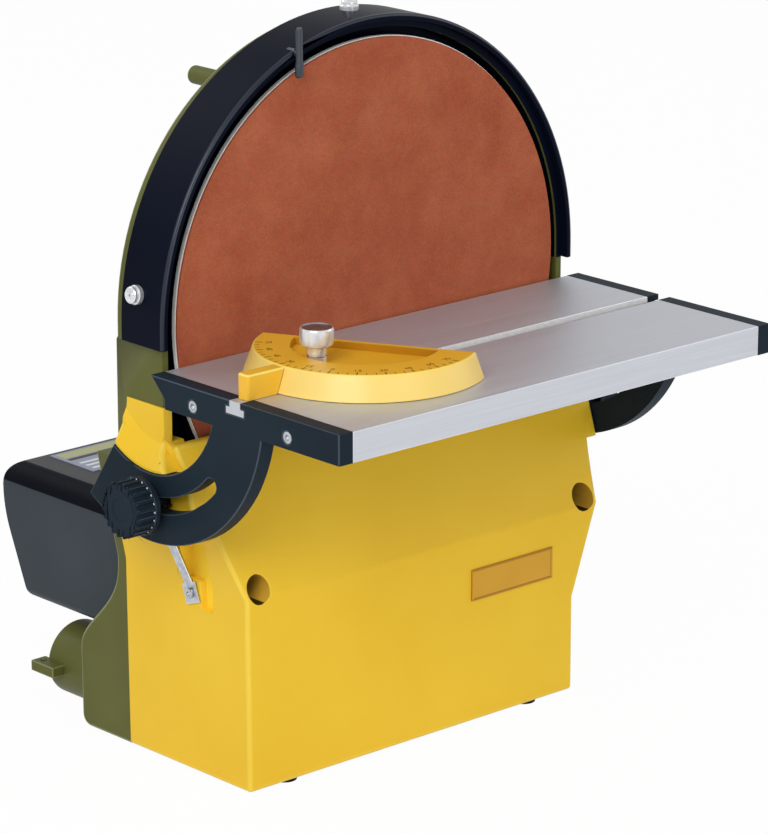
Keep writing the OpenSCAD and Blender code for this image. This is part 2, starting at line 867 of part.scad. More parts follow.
module motor_cover() color(slate) at_spindle() difference() {
    union() {
        difference() {
            cover_solid(0);
            cover_solid(cover_wall);
        }
        intersection() {
            cover_solid(0);
            cover_screw_places() rod_y(cover_head_r + cover_wall, back_upper_y, 2 * cover_back_top);
        }
    }
    cover_screw_places() {
        rod_y(cover_screw_r + run_gap, back_upper_y - overrun, 2 * cover_back_top);
        rod_y(cover_head_r + seat_gap, cover_head_y, 2 * cover_back_top);
    }
    for (k = [0 : vents - 1])
        translate([(k - (vents - 1) / 2) * vent_pitch, 0, motor_z])
            block([-vent_w / 2, cover_back_low - cover_r, -vent_h / 2],
                [vent_w / 2, 2 * cover_back_top, vent_h / 2]);
}

module cover_screws() color(steel) at_spindle() cover_screw_places() {
    rod_y(cover_screw_r, back_upper_y - 2 * wall, cover_head_y);
    rod_y(cover_head_r, cover_head_y, cover_head_y + cover_head_t);
}

// Motor and belt

motor_screw_ring = 19;
motor_screw_r = 2;
module at_motor_screws() for (deg = [0, 180])
    rotate([0, deg, 0]) translate([motor_screw_ring, 0, 0]) children();
module at_motor() at_spindle() translate([0, 0, motor_z]) children();

motor_cap_t = 10;
motor_step = 1.5;
motor_screw_depth = 6;
module motor() color(steel) at_motor() difference() {
    union() {
        rod_y(motor_d / 2, motor_front + motor_cap_t, motor_back - motor_cap_t);
        rod_y(motor_d / 2 - motor_step, motor_front, motor_back);
        rod_y(pilot_r, motor_front - wall, motor_front);
    }
    rod_y(shaft_r + run_gap, motor_front - 2 * wall, motor_back + overrun);
    at_motor_screws()
        rod_y(motor_screw_r + run_gap, motor_front - overrun, motor_front + motor_screw_depth);
}

module motor_shaft() color(bright) at_motor() rod_y(shaft_r, pulley_y, motor_back + fan_gap + fan_w);

module motor_pulley() color(bright) at_motor()
    pulley(motor_pitch_r, motor_teeth, shaft_r + run_gap, pulley_y, pulley_end);

module cooling_fan() color(black) at_motor() translate([0, motor_back + fan_gap, 0]) difference() {
    union() {
        rod_y(fan_hub_r, 0, fan_w);
        for (k = [0 : fan_blades - 1])
            rotate([0, 360 * (k + 1 / 2) / fan_blades, 0])
                block([fan_hub_r - overrun, fan_inset, -pulley_gap / 2],
                    [fan_r, fan_w - fan_inset, pulley_gap / 2]);
    }
    rod_y(shaft_r + run_gap, -overrun, fan_w + overrun);
}

motor_head_t = 2;
module motor_screws() color(steel) at_motor() at_motor_screws() {
    rod_y(motor_screw_r, motor_front - wall, motor_front + motor_screw_depth - overrun);
    rod_y(2 * motor_screw_r, motor_front - wall - motor_head_t, motor_front - wall);
}

// The belt's loop as one outline: two arcs and their common tangents
function belt_points(grow) =
    let (big = spindle_pitch_r + grow, small = motor_pitch_r + grow)
    let (lean = asin((big - small) / belt_centres))
    concat(
        [for (k = [0 : belt_steps]) polar(big, -lean + (180 + 2 * lean) * k / belt_steps)],
        [for (k = [0 : belt_steps])
            [0, motor_z] + polar(small, 180 + lean + (180 - 2 * lean) * k / belt_steps)]
    );

belt_steps = 48;
module toothed_belt() color(black) at_spindle()
    along_y(pulley_y + belt_side + belt_gap, pulley_end - belt_side - belt_gap) difference() {
        polygon(belt_points(belt_gap + belt_t));
        polygon(belt_points(belt_gap));
    }

// Table

module table_profile(bevel) {
    polygon([[table_back, table_top], [table_back - bevel, table_top - bevel],
        [table_back - bevel, table_low], [table_front, table_low], [table_front, table_top]]);
}

module slot_profile(gap) {
    neck_w = slot_w - 2 * gap;
    head_w = slot_head_w - 2 * gap;
    head_top = table_top - slot_neck - gap;
    head_low = table_top - slot_neck - slot_head_h + gap;
    translate([slot_y - neck_w / 2, head_top - overrun])
        square([neck_w, table_top - head_top + (gap > 0 ? overrun : 2 * overrun)]);
    translate([slot_y - head_w / 2, head_low]) square([head_w, head_top - head_low]);
}

pocket_top = table_top - table_skin;
pocket_slot_half = slot_head_w / 2 + slot_web;
screw_port_r = 4;

module table_pockets() difference() {
    union() {
        translate([slot_y + pocket_slot_half, table_low - overrun])
            square([table_back - table_bevel - rib_t - slot_y - pocket_slot_half,
                pocket_top - table_low + overrun]);
        translate([table_front + rib_t, table_low - overrun])
            square([slot_y - pocket_slot_half - table_front - rib_t, pocket_top - table_low + overrun]);
    }
    for (y = [port_y_back, port_y_front]) {
        translate([y, cap_screw_z]) circle(r = screw_port_r);
        translate([y - screw_port_r / 2, cap_screw_z]) square([screw_port_r, table_top - cap_screw_z]);
    }
}

module table_plate() color(bright) at_spindle() difference() {
    along_x(-table_half, table_half) difference() {
        table_profile(table_bevel);
        table_pockets();
        slot_profile(0);
    }
    for (y = [port_y_back, port_y_front])
        translate([0, y, cap_screw_z])
            rod_x(cap_screw_r + run_gap, -table_half - overrun, table_half + overrun);
}

// Left end cap with its quadrant, drawn in place; the right one is its mirror image
module end_cap() at_spindle() difference() {
    union() {
        along_x(-cap_outer, -table_half) table_profile(cap_bevel);
        translate([0, 0, table_top]) {
            intersection() {
                difference() {
                    rod_x(quad_r, -cap_outer, -table_half, $fn = round_fn);
                    rod_x(quad_in_r, -cap_outer - overrun, -table_half + overrun, $fn = round_fn);
                }
                along_x(-cap_outer, -table_half) wedge(2 * quad_r, -arm_deg, -tail_deg);
            }
        }
    }
    translate([0, 0, table_top]) along_x(-cap_outer - overrun, -table_half + overrun)
        arc_slot(tilt_slot_r, tilt_slot_w, -90 - tilt_down, -90 + tilt_up);
    along_x(-cap_outer - overrun, -table_half + overrun) slot_profile(0);
    for (y = [port_y_back, port_y_front]) translate([0, y, cap_screw_z]) {
        rod_x(cap_screw_r + run_gap, -cap_outer - overrun, -table_half + overrun);
        rod_x(cap_head_r + seat_gap, -cap_outer - overrun, -cap_outer + cap_head_t + seat_gap);
    }
}

module left_end_cap() color(black) end_cap();
module right_end_cap() color(black) mirror([1, 0, 0]) end_cap();

module end_cap_screws() color(steel) at_spindle() left_and_right()
    for (y = [port_y_back, port_y_front]) translate([0, y, cap_screw_z]) {
        rod_x(cap_screw_r, -cap_outer + cap_head_t, -table_half + cap_screw_l);
        rod_x(cap_head_r, -cap_outer + seat_gap, -cap_outer + cap_head_t + seat_gap);
    }

// Clamp knobs: a grooved grip on a stud that screws into the housing's pad
grip_grooves = 20;
grip_groove_r = 1.4;
knob_flange_t = 2.5;
knob_flange_over = 0.6;
knob_hub_r = 9;
knob_hub_l = 5;
knob_in = cap_outer + move_gap;
stud_end = pad_x - insert_l + overrun;

module clamp_knob() at_spindle() translate([0, 0, stud_z]) {
    rod_x(stud_d / 2, -knob_in - knob_l / 2, -stud_end);
    rod_x(knob_hub_r, -knob_in - knob_l / 2, -knob_in);
    rod_x(knob_d / 2 + knob_flange_over, -knob_in - knob_hub_l - knob_flange_t, -knob_in - knob_hub_l);
    difference() {
        rod_x(knob_d / 2, -knob_in - knob_l, -knob_in - knob_hub_l);
        for (k = [0 : grip_grooves - 1])
            rotate([360 * k / grip_grooves, 0, 0]) translate([0, 0, knob_d / 2])
                rod_x(grip_groove_r, -knob_in - knob_l - overrun,
                    -knob_in - knob_hub_l - knob_flange_t, $fn = 16);
    }
}

module left_clamp_knob() color(black) clamp_knob();
module right_clamp_knob() color(black) mirror([1, 0, 0]) clamp_knob();

module clamp_inserts() color(steel) at_spindle() left_and_right() translate([0, 0, stud_z]) difference() {
    rod_x(insert_r, -pad_x, -pad_x + insert_l);
    rod_x(stud_d / 2 + run_gap, -pad_x - overrun, -pad_x + insert_l + overrun);
}

// Tilt pointer: a bent strip below the left quadrant
pointer_y = -1.5;
module tilt_pointer() color(bright) at_spindle() translate([-break_half, pointer_y, pointer_z])
    rotate([-pointer_lean, 0, 0]) difference() {
        union() {
            block([-pointer_t, -pointer_foot / 2, -pointer_foot / 2], [0, pointer_foot / 2, pointer_foot / 2]);
            translate([0, pointer_w / 2, 0]) along_y(-pointer_w, 0) polygon([
                [0, 0], [-pointer_t, 0], [-pointer_t, pointer_foot / 2],
                [-pointer_out, pointer_up], [-pointer_out + pointer_t, pointer_up], [0, pointer_foot / 2]]);
        }
        rod_x(pointer_screw_r + run_gap, -2 * pointer_out, pointer_out);
    }

module pointer_screw() color(steel) at_spindle() translate([-break_half, pointer_y, pointer_z]) {
    rod_x(pointer_screw_r, -pointer_t, wall);
    rod_x(pointer_head_r, -pointer_t - pointer_head_t, -pointer_t);
}

// Mitre gauge

module mitre_bar() color(bright) at_spindle() difference() {
    along_x(bar_left, bar_left + bar_l) intersection() {
        slot_profile(bar_gap);
        translate([slot_y - slot_head_w, table_low])
            square([2 * slot_head_w, table_top - table_low + slide_gap]);
    }
    translate([pivot_x, slot_y, 0]) rod_z(head_pin_r - overrun + run_gap, table_low, table_top + overrun);
    translate([pivot_x - lock_reach, slot_y, 0])
        rod_z(lock_stud_r + run_gap, table_low, table_top + overrun);
}

head_low = table_top + slide_gap + seat_gap;
head_top = table_top + head_h;
head_floor_z = head_low + head_floor;
pin_top = head_floor_z - pin_roof;
head_top_r = head_r - head_slope;

module mitre_arm() color(yellow) at_spindle() difference() {
    block([bar_left + arm_tip, slot_y - arm_w / 2, table_top + slide_gap],
        [pivot_x - head_top_r + overrun, slot_y + arm_w / 2, head_top]);
    translate([pivot_x, slot_y, table_top - overrun])
        cylinder(r1 = head_r + arm_gap + overrun * head_slope / head_h,
            r2 = head_top_r + arm_gap - overrun * head_slope / head_h,
            h = head_h + 2 * overrun, $fn = round_fn);
}

module at_head() at_spindle() translate([pivot_x, slot_y, 0]) rotate([0, 0, fence_turn]) children();

module mitre_head() color(yellow) at_head() difference() {
    intersection() {
        translate([0, 0, head_low])
            cylinder(r1 = head_r, r2 = head_top_r, h = head_top - head_low, $fn = round_fn);
        block([-2 * head_r, -2 * head_r, head_low - overrun], [fence_off, 2 * head_r, head_top + overrun]);
    }
    intersection() {
        rod_z(head_top_r - head_rim, head_floor_z, head_top + overrun, $fn = round_fn);
        block([-2 * head_r, -2 * head_r, head_floor_z],
            [fence_off - rib_t, 2 * head_r, head_top + overrun]);
    }
    rod_z(head_pin_r + run_gap, head_low - overrun, pin_top + move_gap);
    translate([0, 0, head_low - overrun]) linear_extrude(head_h)
        arc_slot(lock_reach, 2 * (lock_stud_r + lock_slot_gap), 180 - lock_slot_half, 180 + lock_slot_half);
}

module mitre_pivot() color(steel) at_spindle() translate([pivot_x, slot_y, 0]) {
    rod_z(head_pin_r - overrun, table_top - slot_neck - slot_head_h / 2, table_top + slide_gap);
    rod_z(head_pin_r, table_top + slide_gap, pin_top);
}

lock_low = head_floor_z + move_gap;
module mitre_knob() color(bright) at_spindle() translate([pivot_x - lock_reach, slot_y, 0]) {
    rod_z(lock_stud_r, table_top - slot_neck - slot_head_h / 2, lock_low + lock_neck_h);
    rod_z(lock_neck_r, lock_low, lock_low + lock_neck_h);
    rod_z(lock_d / 2, lock_low + lock_neck_h, lock_low + lock_neck_h + lock_head_h);
}

// Dust port

module dust_port() color(olive) at_spindle() translate([port_x, 0, port_z]) difference() {
    union() {
        rod_y(port_out_r, port_root, port_end);
        block([-port_r - ear_w, port_end - ear_l + ear_w / 2, -ear_t / 2],
            [-port_r, port_end + ear_w / 2, ear_t / 2]);
    }
    rod_y(port_r, port_root - overrun, port_end + ear_w);
    translate([-port_r - ear_w / 2, port_end, 0]) rod_z(ear_hole_r, -ear_t, ear_t);
}

module housing_screws() color(steel) at_spindle() well_places() {
    rod_y(post_screw_r, well_floor, post_front + 2 * plate_screw_l);
    rod_y(post_head_r, well_floor - post_head_t, well_floor);
}

// Controls

module switch_bezel() color(black) at_spindle() translate([base_right, switch_y, control_z]) difference() {
    union() {
        block([0, -switch_w / 2, -switch_h / 2], [bezel_t, switch_w / 2, switch_h / 2]);
        block([-4 * wall, -(switch_w / 2 - bezel_rim - seat_gap), -(switch_h / 2 - bezel_rim - seat_gap)],
            [0, switch_w / 2 - bezel_rim - seat_gap, switch_h / 2 - bezel_rim - seat_gap]);
    }
    block([-3 * wall, -rocker_w / 2 - move_gap, -rocker_h / 2 - move_gap],
        [bezel_t + overrun, rocker_w / 2 + move_gap, rocker_h / 2 + move_gap]);
    rod_y_at([-wall / 2, 0, 0], rocker_pin_r + run_gap, -rocker_w / 2 - rocker_pin_l - seat_gap,
        rocker_w / 2 + rocker_pin_l + seat_gap);
}

rocker_pin_r = 1.5;
rocker_pin_l = 1;
module rod_y_at(place, r, from, to) translate(place) rod_y(r, from, to);

module switch_rocker() color(black) at_spindle() translate([base_right, switch_y, control_z])
    translate([-wall / 2, 0, 0]) rotate([0, -rocker_deg, 0]) translate([wall / 2, 0, 0]) {
    intersection() {
        block([-wall, -rocker_w / 2, -rocker_h / 2 + move_gap],
            [rocker_proud, rocker_w / 2, rocker_h / 2 - move_gap]);
        rod_y_at([-wall / 2, 0, 0], rocker_h / 2 - move_gap, -rocker_w, rocker_w);
    }
    rod_y_at([-wall / 2, 0, 0], rocker_pin_r, -rocker_w / 2 - rocker_pin_l, rocker_w / 2 + rocker_pin_l);
}

dial_grooves = 18;
module speed_dial() color(black) at_spindle() translate([base_right, dial_y, control_z]) {
    difference() {
        rod_x(dial_r, move_gap, move_gap + dial_l);
        for (k = [0 : dial_grooves - 1])
            rotate([360 * k / dial_grooves, 0, 0]) translate([0, 0, dial_r])
                rod_x(pulley_gap, move_gap + dial_skirt, dial_l - dial_skirt, $fn = 16);
    }
    rod_x(dial_stem_r - seat_gap, -wall - pot_l / 2, move_gap);
}

module at_dial() at_spindle() translate([base_right, dial_y, control_z]) children();

module speed_control() color(steel) at_dial() translate([-wall, 0, 0]) difference() {
    rod_x(pot_r, -pot_l, 0);
    rod_x(dial_stem_r, -pot_l + pulley_gap, overrun);
}

module board_post_places() for (x = [-1, 1], y = [-1, 1])
    translate([board_x + x * (board_w / 2 - post_r), board_y + y * (board_l / 2 - post_r), 0]) children();

module board_posts() color(black) at_spindle() board_post_places() {
    rod_z(post_r, floor_z + base_t, board_z);
    rod_z(post_screw_r, board_z, board_z + board_t);
}

module control_board() color("#2d5a3a") at_spindle() difference() {
    block([board_x - board_w / 2, board_y - board_l / 2, board_z],
        [board_x + board_w / 2, board_y + board_l / 2, board_z + board_t]);
    board_post_places() rod_z(post_screw_r + run_gap, board_z - overrun, board_z + board_t + overrun);
}

module cord_gland() color(black) at_spindle() translate([gland_x, 0, gland_z]) difference() {
    union() {
        rod_y(gland_r - wall / 2, back_y - 2 * wall, back_y);
        translate([0, back_y, 0]) rotate([-90, 0, 0])
            cylinder(r1 = gland_r, r2 = gland_r - wall, h = gland_out);
    }
    rod_y(gland_bore_r, back_y - 3 * wall, back_y + gland_out + overrun);
}

// Plates

module badge_plate() color("#d9a52a") at_spindle()
    block([badge_x - badge_w / 2, -front_y - badge_t, badge_z - badge_h / 2],
        [badge_x + badge_w / 2, -front_y, badge_z + badge_h / 2]);

module rating_plate() color(bright) at_spindle()
    block([rating_x - rating_w / 2, rating_y - rating_l / 2, cover_top],
        [rating_x + rating_w / 2, rating_y + rating_l / 2, cover_top + rating_t]);

abrasive_sheet();
sanding_disc();
disc_screws();
spindle();
driven_pulley();
front_bearing();
rear_bearing();
bearing_plate();
plate_screws();
rear_housing();
front_housing();
base_plate();
feet();
foot_screws();
disc_guard();
guard_screws();
sheet_lifter();
lifter_pin();
cord_pegs();
motor_cover();
cover_screws();
motor();
motor_shaft();
motor_pulley();
cooling_fan();
motor_screws();
toothed_belt();
table_plate();
left_end_cap();
right_end_cap();
end_cap_screws();
left_clamp_knob();
right_clamp_knob();
clamp_inserts();
tilt_pointer();
pointer_screw();
mitre_bar();
mitre_arm();
mitre_head();
mitre_pivot();
mitre_knob();
dust_port();
housing_screws();
switch_bezel();
switch_rocker();
speed_dial();
speed_control();
control_board();
board_posts();
cord_gland();
badge_plate();
rating_plate();
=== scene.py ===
# %% [markdown]
# # A benchtop disc sander, dressed in Blender
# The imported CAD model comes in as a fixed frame: every solid is already in its place, in metres, and on
# its own moving body. This lesson gives each solid its rounded edges, its surface and its small details.
# A CAD solid is never moved or changed here. Where its shape needs more than a finish, a copy of it is
# worked on and stands in for it.

# %% Load the frame
import json
import math

import bpy
from mathutils import Matrix, Vector

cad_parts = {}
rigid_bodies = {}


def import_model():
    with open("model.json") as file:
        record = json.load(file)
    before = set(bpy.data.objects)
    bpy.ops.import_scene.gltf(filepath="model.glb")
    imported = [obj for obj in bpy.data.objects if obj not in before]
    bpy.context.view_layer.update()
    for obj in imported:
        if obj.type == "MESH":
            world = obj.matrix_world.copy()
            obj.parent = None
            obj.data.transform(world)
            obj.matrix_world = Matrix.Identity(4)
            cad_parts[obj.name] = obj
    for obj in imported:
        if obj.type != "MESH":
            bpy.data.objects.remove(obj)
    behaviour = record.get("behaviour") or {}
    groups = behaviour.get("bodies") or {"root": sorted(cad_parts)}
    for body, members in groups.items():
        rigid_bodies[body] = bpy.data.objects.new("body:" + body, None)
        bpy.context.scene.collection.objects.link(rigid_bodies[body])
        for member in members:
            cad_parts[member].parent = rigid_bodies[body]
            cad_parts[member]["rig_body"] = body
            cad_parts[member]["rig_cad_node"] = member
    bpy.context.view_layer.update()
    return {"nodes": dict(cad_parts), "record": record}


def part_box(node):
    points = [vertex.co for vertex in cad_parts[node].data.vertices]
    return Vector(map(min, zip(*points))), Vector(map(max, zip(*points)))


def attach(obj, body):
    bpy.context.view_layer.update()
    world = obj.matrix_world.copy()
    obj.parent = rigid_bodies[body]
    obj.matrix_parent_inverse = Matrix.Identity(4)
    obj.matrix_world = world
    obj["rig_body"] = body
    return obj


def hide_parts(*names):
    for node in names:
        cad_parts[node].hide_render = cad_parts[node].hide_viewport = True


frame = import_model()
MM = 0.001
body_of = {node: body for body, nodes in frame["record"]["behaviour"]["bodies"].items() for node in nodes}

# %% [markdown]
# ## Where the sizes are measured from
# On a sander everything is set out from the spindle and the sanding face. The frame's own origin is on the
# bench, so one function turns a place given from the spindle, in millimetres, into a place in the frame.

# %% Places from the spindle
FACE_Y = -12.5
SPINDLE_Z = 230.0


def place(x, y, z):
    return Vector((x, y + FACE_Y, z + SPINDLE_Z)) * MM


print("spindle at", [round(v, 4) for v in place(0, 0, 0)])

# %% [markdown]
# ## The camera
# The picture was taken from the front left, a little above the table, with a long lens from about two
# metres away. A long lens keeps the table's edges nearly parallel, so the focal length matters as much as
# the place.

# %% Camera
camera_data = bpy.data.cameras.new("photo_camera")
camera = bpy.data.objects.new("photo_camera", camera_data)
bpy.context.scene.collection.objects.link(camera)
camera.location = (-1.3529, -1.5113, 0.7621)
camera.rotation_euler = (math.radians(73.45), 0, math.radians(-42.25))
camera_data.lens = 181.3
camera_data.sensor_width = 36
camera_data.clip_start = 0.05
bpy.context.scene.camera = camera
bpy.context.scene.view_settings.view_transform = "Standard"
print("camera set", tuple(round(v, 3) for v in camera.location))

# %% [markdown]
# ## Colours and nodes
# Colours are written as they look on a screen, as hex values, and shaders work in linear light, so one
# function converts them. A second small function adds a node to a material with its settings and links.

# %% Colour and node helpers


def linear(hex_colour):
    parts = [int(hex_colour[k:k + 2], 16) / 255 for k in (0, 2, 4)]
    return tuple(c / 12.92 if c <= 0.04045 else ((c + 0.055) / 1.055) ** 2.4 for c in parts) + (1.0,)


def add(tree, kind, inputs=None, **settings):
    node = tree.nodes.new(kind)
    for key, value in settings.items():
        setattr(node, key, value)
    for key, value in (inputs or {}).items():
        if isinstance(value, bpy.types.NodeSocket):
            tree.links.new(value, node.inputs[key])
        else:
            node.inputs[key].default_value = value
    return node


def blank(name):
    material = bpy.data.materials.new(name)
    material.use_nodes = True
    material.node_tree.nodes.clear()
    return material, material.node_tree


print("a mid grey is", [round(v, 3) for v in linear("808080")[:3]])

# %% [markdown]
# ## Floor and light
# A product picture is lit by large soft sources: one big panel at the upper left, a second low in front, a
# weak one at the right and a pale room all round. The floor is white paper. It is told apart by the kind of
# ray: the camera and reflections see it nearly glowing, so it stays white, and everything else sees plain
# paper, so the tool gets no more light from it.

# %% Floor, world and lamps
FLOOR_SIZE = 12.0
bpy.ops.object.select_all(action="DESELECT")
bpy.ops.mesh.primitive_circle_add(vertices=96, radius=FLOOR_SIZE / 2, fill_type="NGON")
floor = bpy.context.object
floor.name = "studio_floor"

paper, tree = blank("white_paper")
paths = add(tree, "ShaderNodeLightPath")
seen = add(tree, "ShaderNodeMath", {0: paths.outputs["Is Camera Ray"], 1: paths.outputs["Is Glossy Ray"]},
           operation="MAXIMUM")
share = add(tree, "ShaderNodeMath", {0: seen.outputs[0], 1: 0.97}, operation="MULTIPLY")
matt = add(tree, "ShaderNodeBsdfDiffuse", {"Color": linear("F4F4F3")})
glow = add(tree, "ShaderNodeEmission", {"Color": linear("FFFFFF"), "Strength": 1.0})
both = add(tree, "ShaderNodeMixShader", {0: share.outputs[0], 1: matt.outputs[0], 2: glow.outputs[0]})
add(tree, "ShaderNodeOutputMaterial", {"Surface": both.outputs[0]})
floor.data.materials.append(paper)

ROOM_LIGHT = 0.42
ROOM_MIRRORED = 0.8
world = bpy.data.worlds.new("pale_room")
world.use_nodes = True
bpy.context.scene.world = world
tree = world.node_tree
tree.nodes.clear()
paths = add(tree, "ShaderNodeLightPath")
seen = add(tree, "ShaderNodeMath",
           {0: paths.outputs["Is Camera Ray"], 1: paths.outputs["Is Transmission Ray"]}, operation="MAXIMUM")
dim = add(tree, "ShaderNodeMapRange",
          {"Value": paths.outputs["Is Glossy Ray"], "To Min": ROOM_LIGHT, "To Max": ROOM_MIRRORED})
level = add(tree, "ShaderNodeMix", {0: seen.outputs[0], 2: dim.outputs[0], 3: 1.0})
sky = add(tree, "ShaderNodeBackground", {"Color": linear("FFFFFF"), "Strength": level.outputs[0]})
add(tree, "ShaderNodeOutputWorld", {"Surface": sky.outputs[0]})

TARGET = Vector((0, 0, 0.17))
LAMPS = [
    ("key_panel", (-1.75, -0.95, 1.55), 1.3, 29.0),
    ("front_panel", (-0.1, -2.1, 0.45), 1.1, 7.5),
    ("side_panel", (1.7, -1.1, 0.9), 1.2, 5.0),
    ("back_panel", (-0.5, 1.9, 1.5), 1.4, 9.0),
]
for name, spot, size, watts in LAMPS:
    data = bpy.data.lights.new(name, "AREA")
    data.energy = watts
    data.size = size
    lamp = bpy.data.objects.new(name, data)
    bpy.context.scene.collection.objects.link(lamp)
    lamp.location = spot
    lamp.rotation_euler = (TARGET - Vector(spot)).to_track_quat("-Z", "Y").to_euler()
print("lamps:", len(LAMPS))

# %% [markdown]
# ## Moulded plastics
# The housings are moulded ABS: a solid colour, a satin gloss and a very fine spark-eroded grain from the
# mould. The real grain is about 0.2 mm and would vanish at this size, so it is drawn at 0.9 mm. A slow
# drift of the colour, 80 mm and more across, keeps the big faces from looking like flat paint. Every
# plastic has a paler twin for its rounded edges: a painted highlight along the edge.

# %% Plastic finishes
GRAIN = 0.9 * MM
DRIFT = 80 * MM


def plastic(name, dark, light, roughness, shine=0.3, relief=0.03):
    material, tree = blank(name)
    where = add(tree, "ShaderNodeTexCoord")
    drift = add(tree, "ShaderNodeTexNoise", {"Vector": where.outputs["Object"], "Scale": 1 / DRIFT,
                                             "Detail": 3.0, "Roughness": 0.5})
    tint = add(tree, "ShaderNodeValToRGB", {"Fac": drift.outputs["Fac"]})
    tint.color_ramp.elements[0].position = 0.32
    tint.color_ramp.elements[0].color = linear(dark)
    tint.color_ramp.elements[1].position = 0.68
    tint.color_ramp.elements[1].color = linear(light)
    grain = add(tree, "ShaderNodeTexNoise", {"Vector": where.outputs["Object"], "Scale": 1 / GRAIN,
                                             "Detail": 2.0})
    bump = add(tree, "ShaderNodeBump", {"Height": grain.outputs["Fac"], "Strength": 0.35,
                                        "Distance": relief * MM})
    gloss = add(tree, "ShaderNodeMapRange", {"Value": grain.outputs["Fac"], "To Min": roughness - 0.06,
                                             "To Max": roughness + 0.06})
    skin = add(tree, "ShaderNodeBsdfPrincipled", {"Base Color": tint.outputs["Color"],
                                                  "Specular IOR Level": shine,
                                                  "Roughness": gloss.outputs[0], "Normal": bump.outputs[0]})
    add(tree, "ShaderNodeOutputMaterial", {"Surface": skin.outputs[0]})
    return material


# Front housing: satin yellow ABS; edges painted paler as highlight, wells painted shade, niche painted light
yellow = plastic("yellow_moulded_abs", "EDC02A", "F2C833", 0.40, 0.2)
yellow_edge_highlight = plastic("yellow_abs_painted_highlight", "EFC93E", "F2CF48", 0.36, 0.3)
well_painted_shade = plastic("yellow_abs_painted_well_shade", "E0AC36", "E8B640", 0.55, 0.1)
niche_painted_light = plastic("yellow_abs_painted_niche_light", "FFD83C", "FFDE46", 0.50, 0.1)
well_painted_shadow = plastic("yellow_abs_well_shadow", "3E2E08", "4A380C", 0.60, 0.05)
# Mitre gauge: a warmer, glossier yellow; paler edges and rim side are painted highlights, and the amber
# recess floor and its darker edge are painted shade
gauge_yellow = plastic("gauge_yellow_abs", "F2B52A", "F5BD34", 0.36, 0.35)
gauge_side_highlight = plastic("gauge_side_painted_highlight", "F4D06A", "F7D778", 0.34, 0.5)
gauge_recess_shadow = plastic("gauge_recess_painted_shadow", "B27A10", "BD8518", 0.45, 0.15)
gauge_floor_shade = plastic("gauge_recess_painted_shade", "EBAE26", "EFB62F", 0.40, 0.25)
gauge_edge_highlight = plastic("gauge_yellow_painted_highlight", "FAD85C", "FCDF70", 0.32, 0.4)
# Rear housing and port: dull olive ABS, edges painted paler as highlight
olive = plastic("olive_moulded_abs", "55572A", "62642F", 0.46, 0.15)
olive_edge_highlight = plastic("olive_abs_painted_highlight", "73754A", "7E8054", 0.40, 0.3)
# Guard: nearly black ABS with a blue cast, glossier and painted lighter as a highlight where the edge is
# rounded; the same black is painted as shade inside the dome, behind the disc's rim and on the bearing plate
guard_black_and_shade = plastic("guard_black_abs_and_painted_shade", "070C18", "0A1020", 0.36, 0.03)
guard_edge_highlight = plastic("guard_abs_painted_highlight", "141B2A", "1C2434", 0.24, 0.35)
# Caps and knobs: glass-filled nylon, matt, greyed by the filler; edges painted paler as highlight
nylon = plastic("black_filled_nylon", "18232D", "1E2A34", 0.50, 0.06, 0.06)
nylon_edge_highlight = plastic("filled_nylon_painted_highlight", "33414C", "3D4B56", 0.42, 0.2)
# Motor cover: slate ABS; shoulders painted nearly black as a dark reflection, the top painted lighter as
# light
slate = plastic("slate_moulded_abs", "2C343B", "363E45", 0.42, 0.15)
slate_shoulder_reflection = plastic("slate_abs_painted_dark_reflection", "080A12", "0C0F18", 0.38, 0.03)
slate_top_painted_light = plastic("slate_abs_painted_light_top", "37363A", "413F42", 0.44, 0.15)
lifter_grey = plastic("grey_filled_nylon", "202A34", "28323C", 0.30, 0.5)
# Feet, belt, circuit board, foil badge and printing inks; the white ink also paints glints on the knobs
rubber = plastic("black_rubber", "131313", "1E1E1E", 0.75, 0.1, 0.10)
board_green = plastic("green_solder_mask", "264E32", "356544", 0.35)
badge_gold = plastic("badge_gold_foil", "D29A1E", "DCA62A", 0.36)
badge_rim = plastic("badge_foil_rim", "A87410", "B47F16", 0.40)
dark_ink = plastic("dark_scale_ink", "6E5014", "7A5A1A", 0.60, 0.1)
white_ink_and_glints = plastic("white_print_ink_and_painted_glints", "E2E5EA", "F0F2F5", 0.55)
label_lime = plastic("label_lime_ink", "B4B482", "C2C290", 0.50)
label_grey = plastic("label_grey_ink", "9298AC", "A2A8BA", 0.50)
label_dark = plastic("label_dark_ink", "2A2E36", "363A42", 0.50)
plastics = len(bpy.data.materials) - 1
print("plastics made:", plastics)

# %% [markdown]
# ## Metals
# The table is extruded aluminium with a ground top: fine lines run along its length, some 0.25 mm apart,
# drawn here at 0.8 mm so that they show. Turned aluminium, zinc-plated steel, chrome and brass use the same
# recipe with other colours and shorter lines. A metal has no colour drift, only roughness and relief.

# %% Metal finishes
LINE = 0.8 * MM


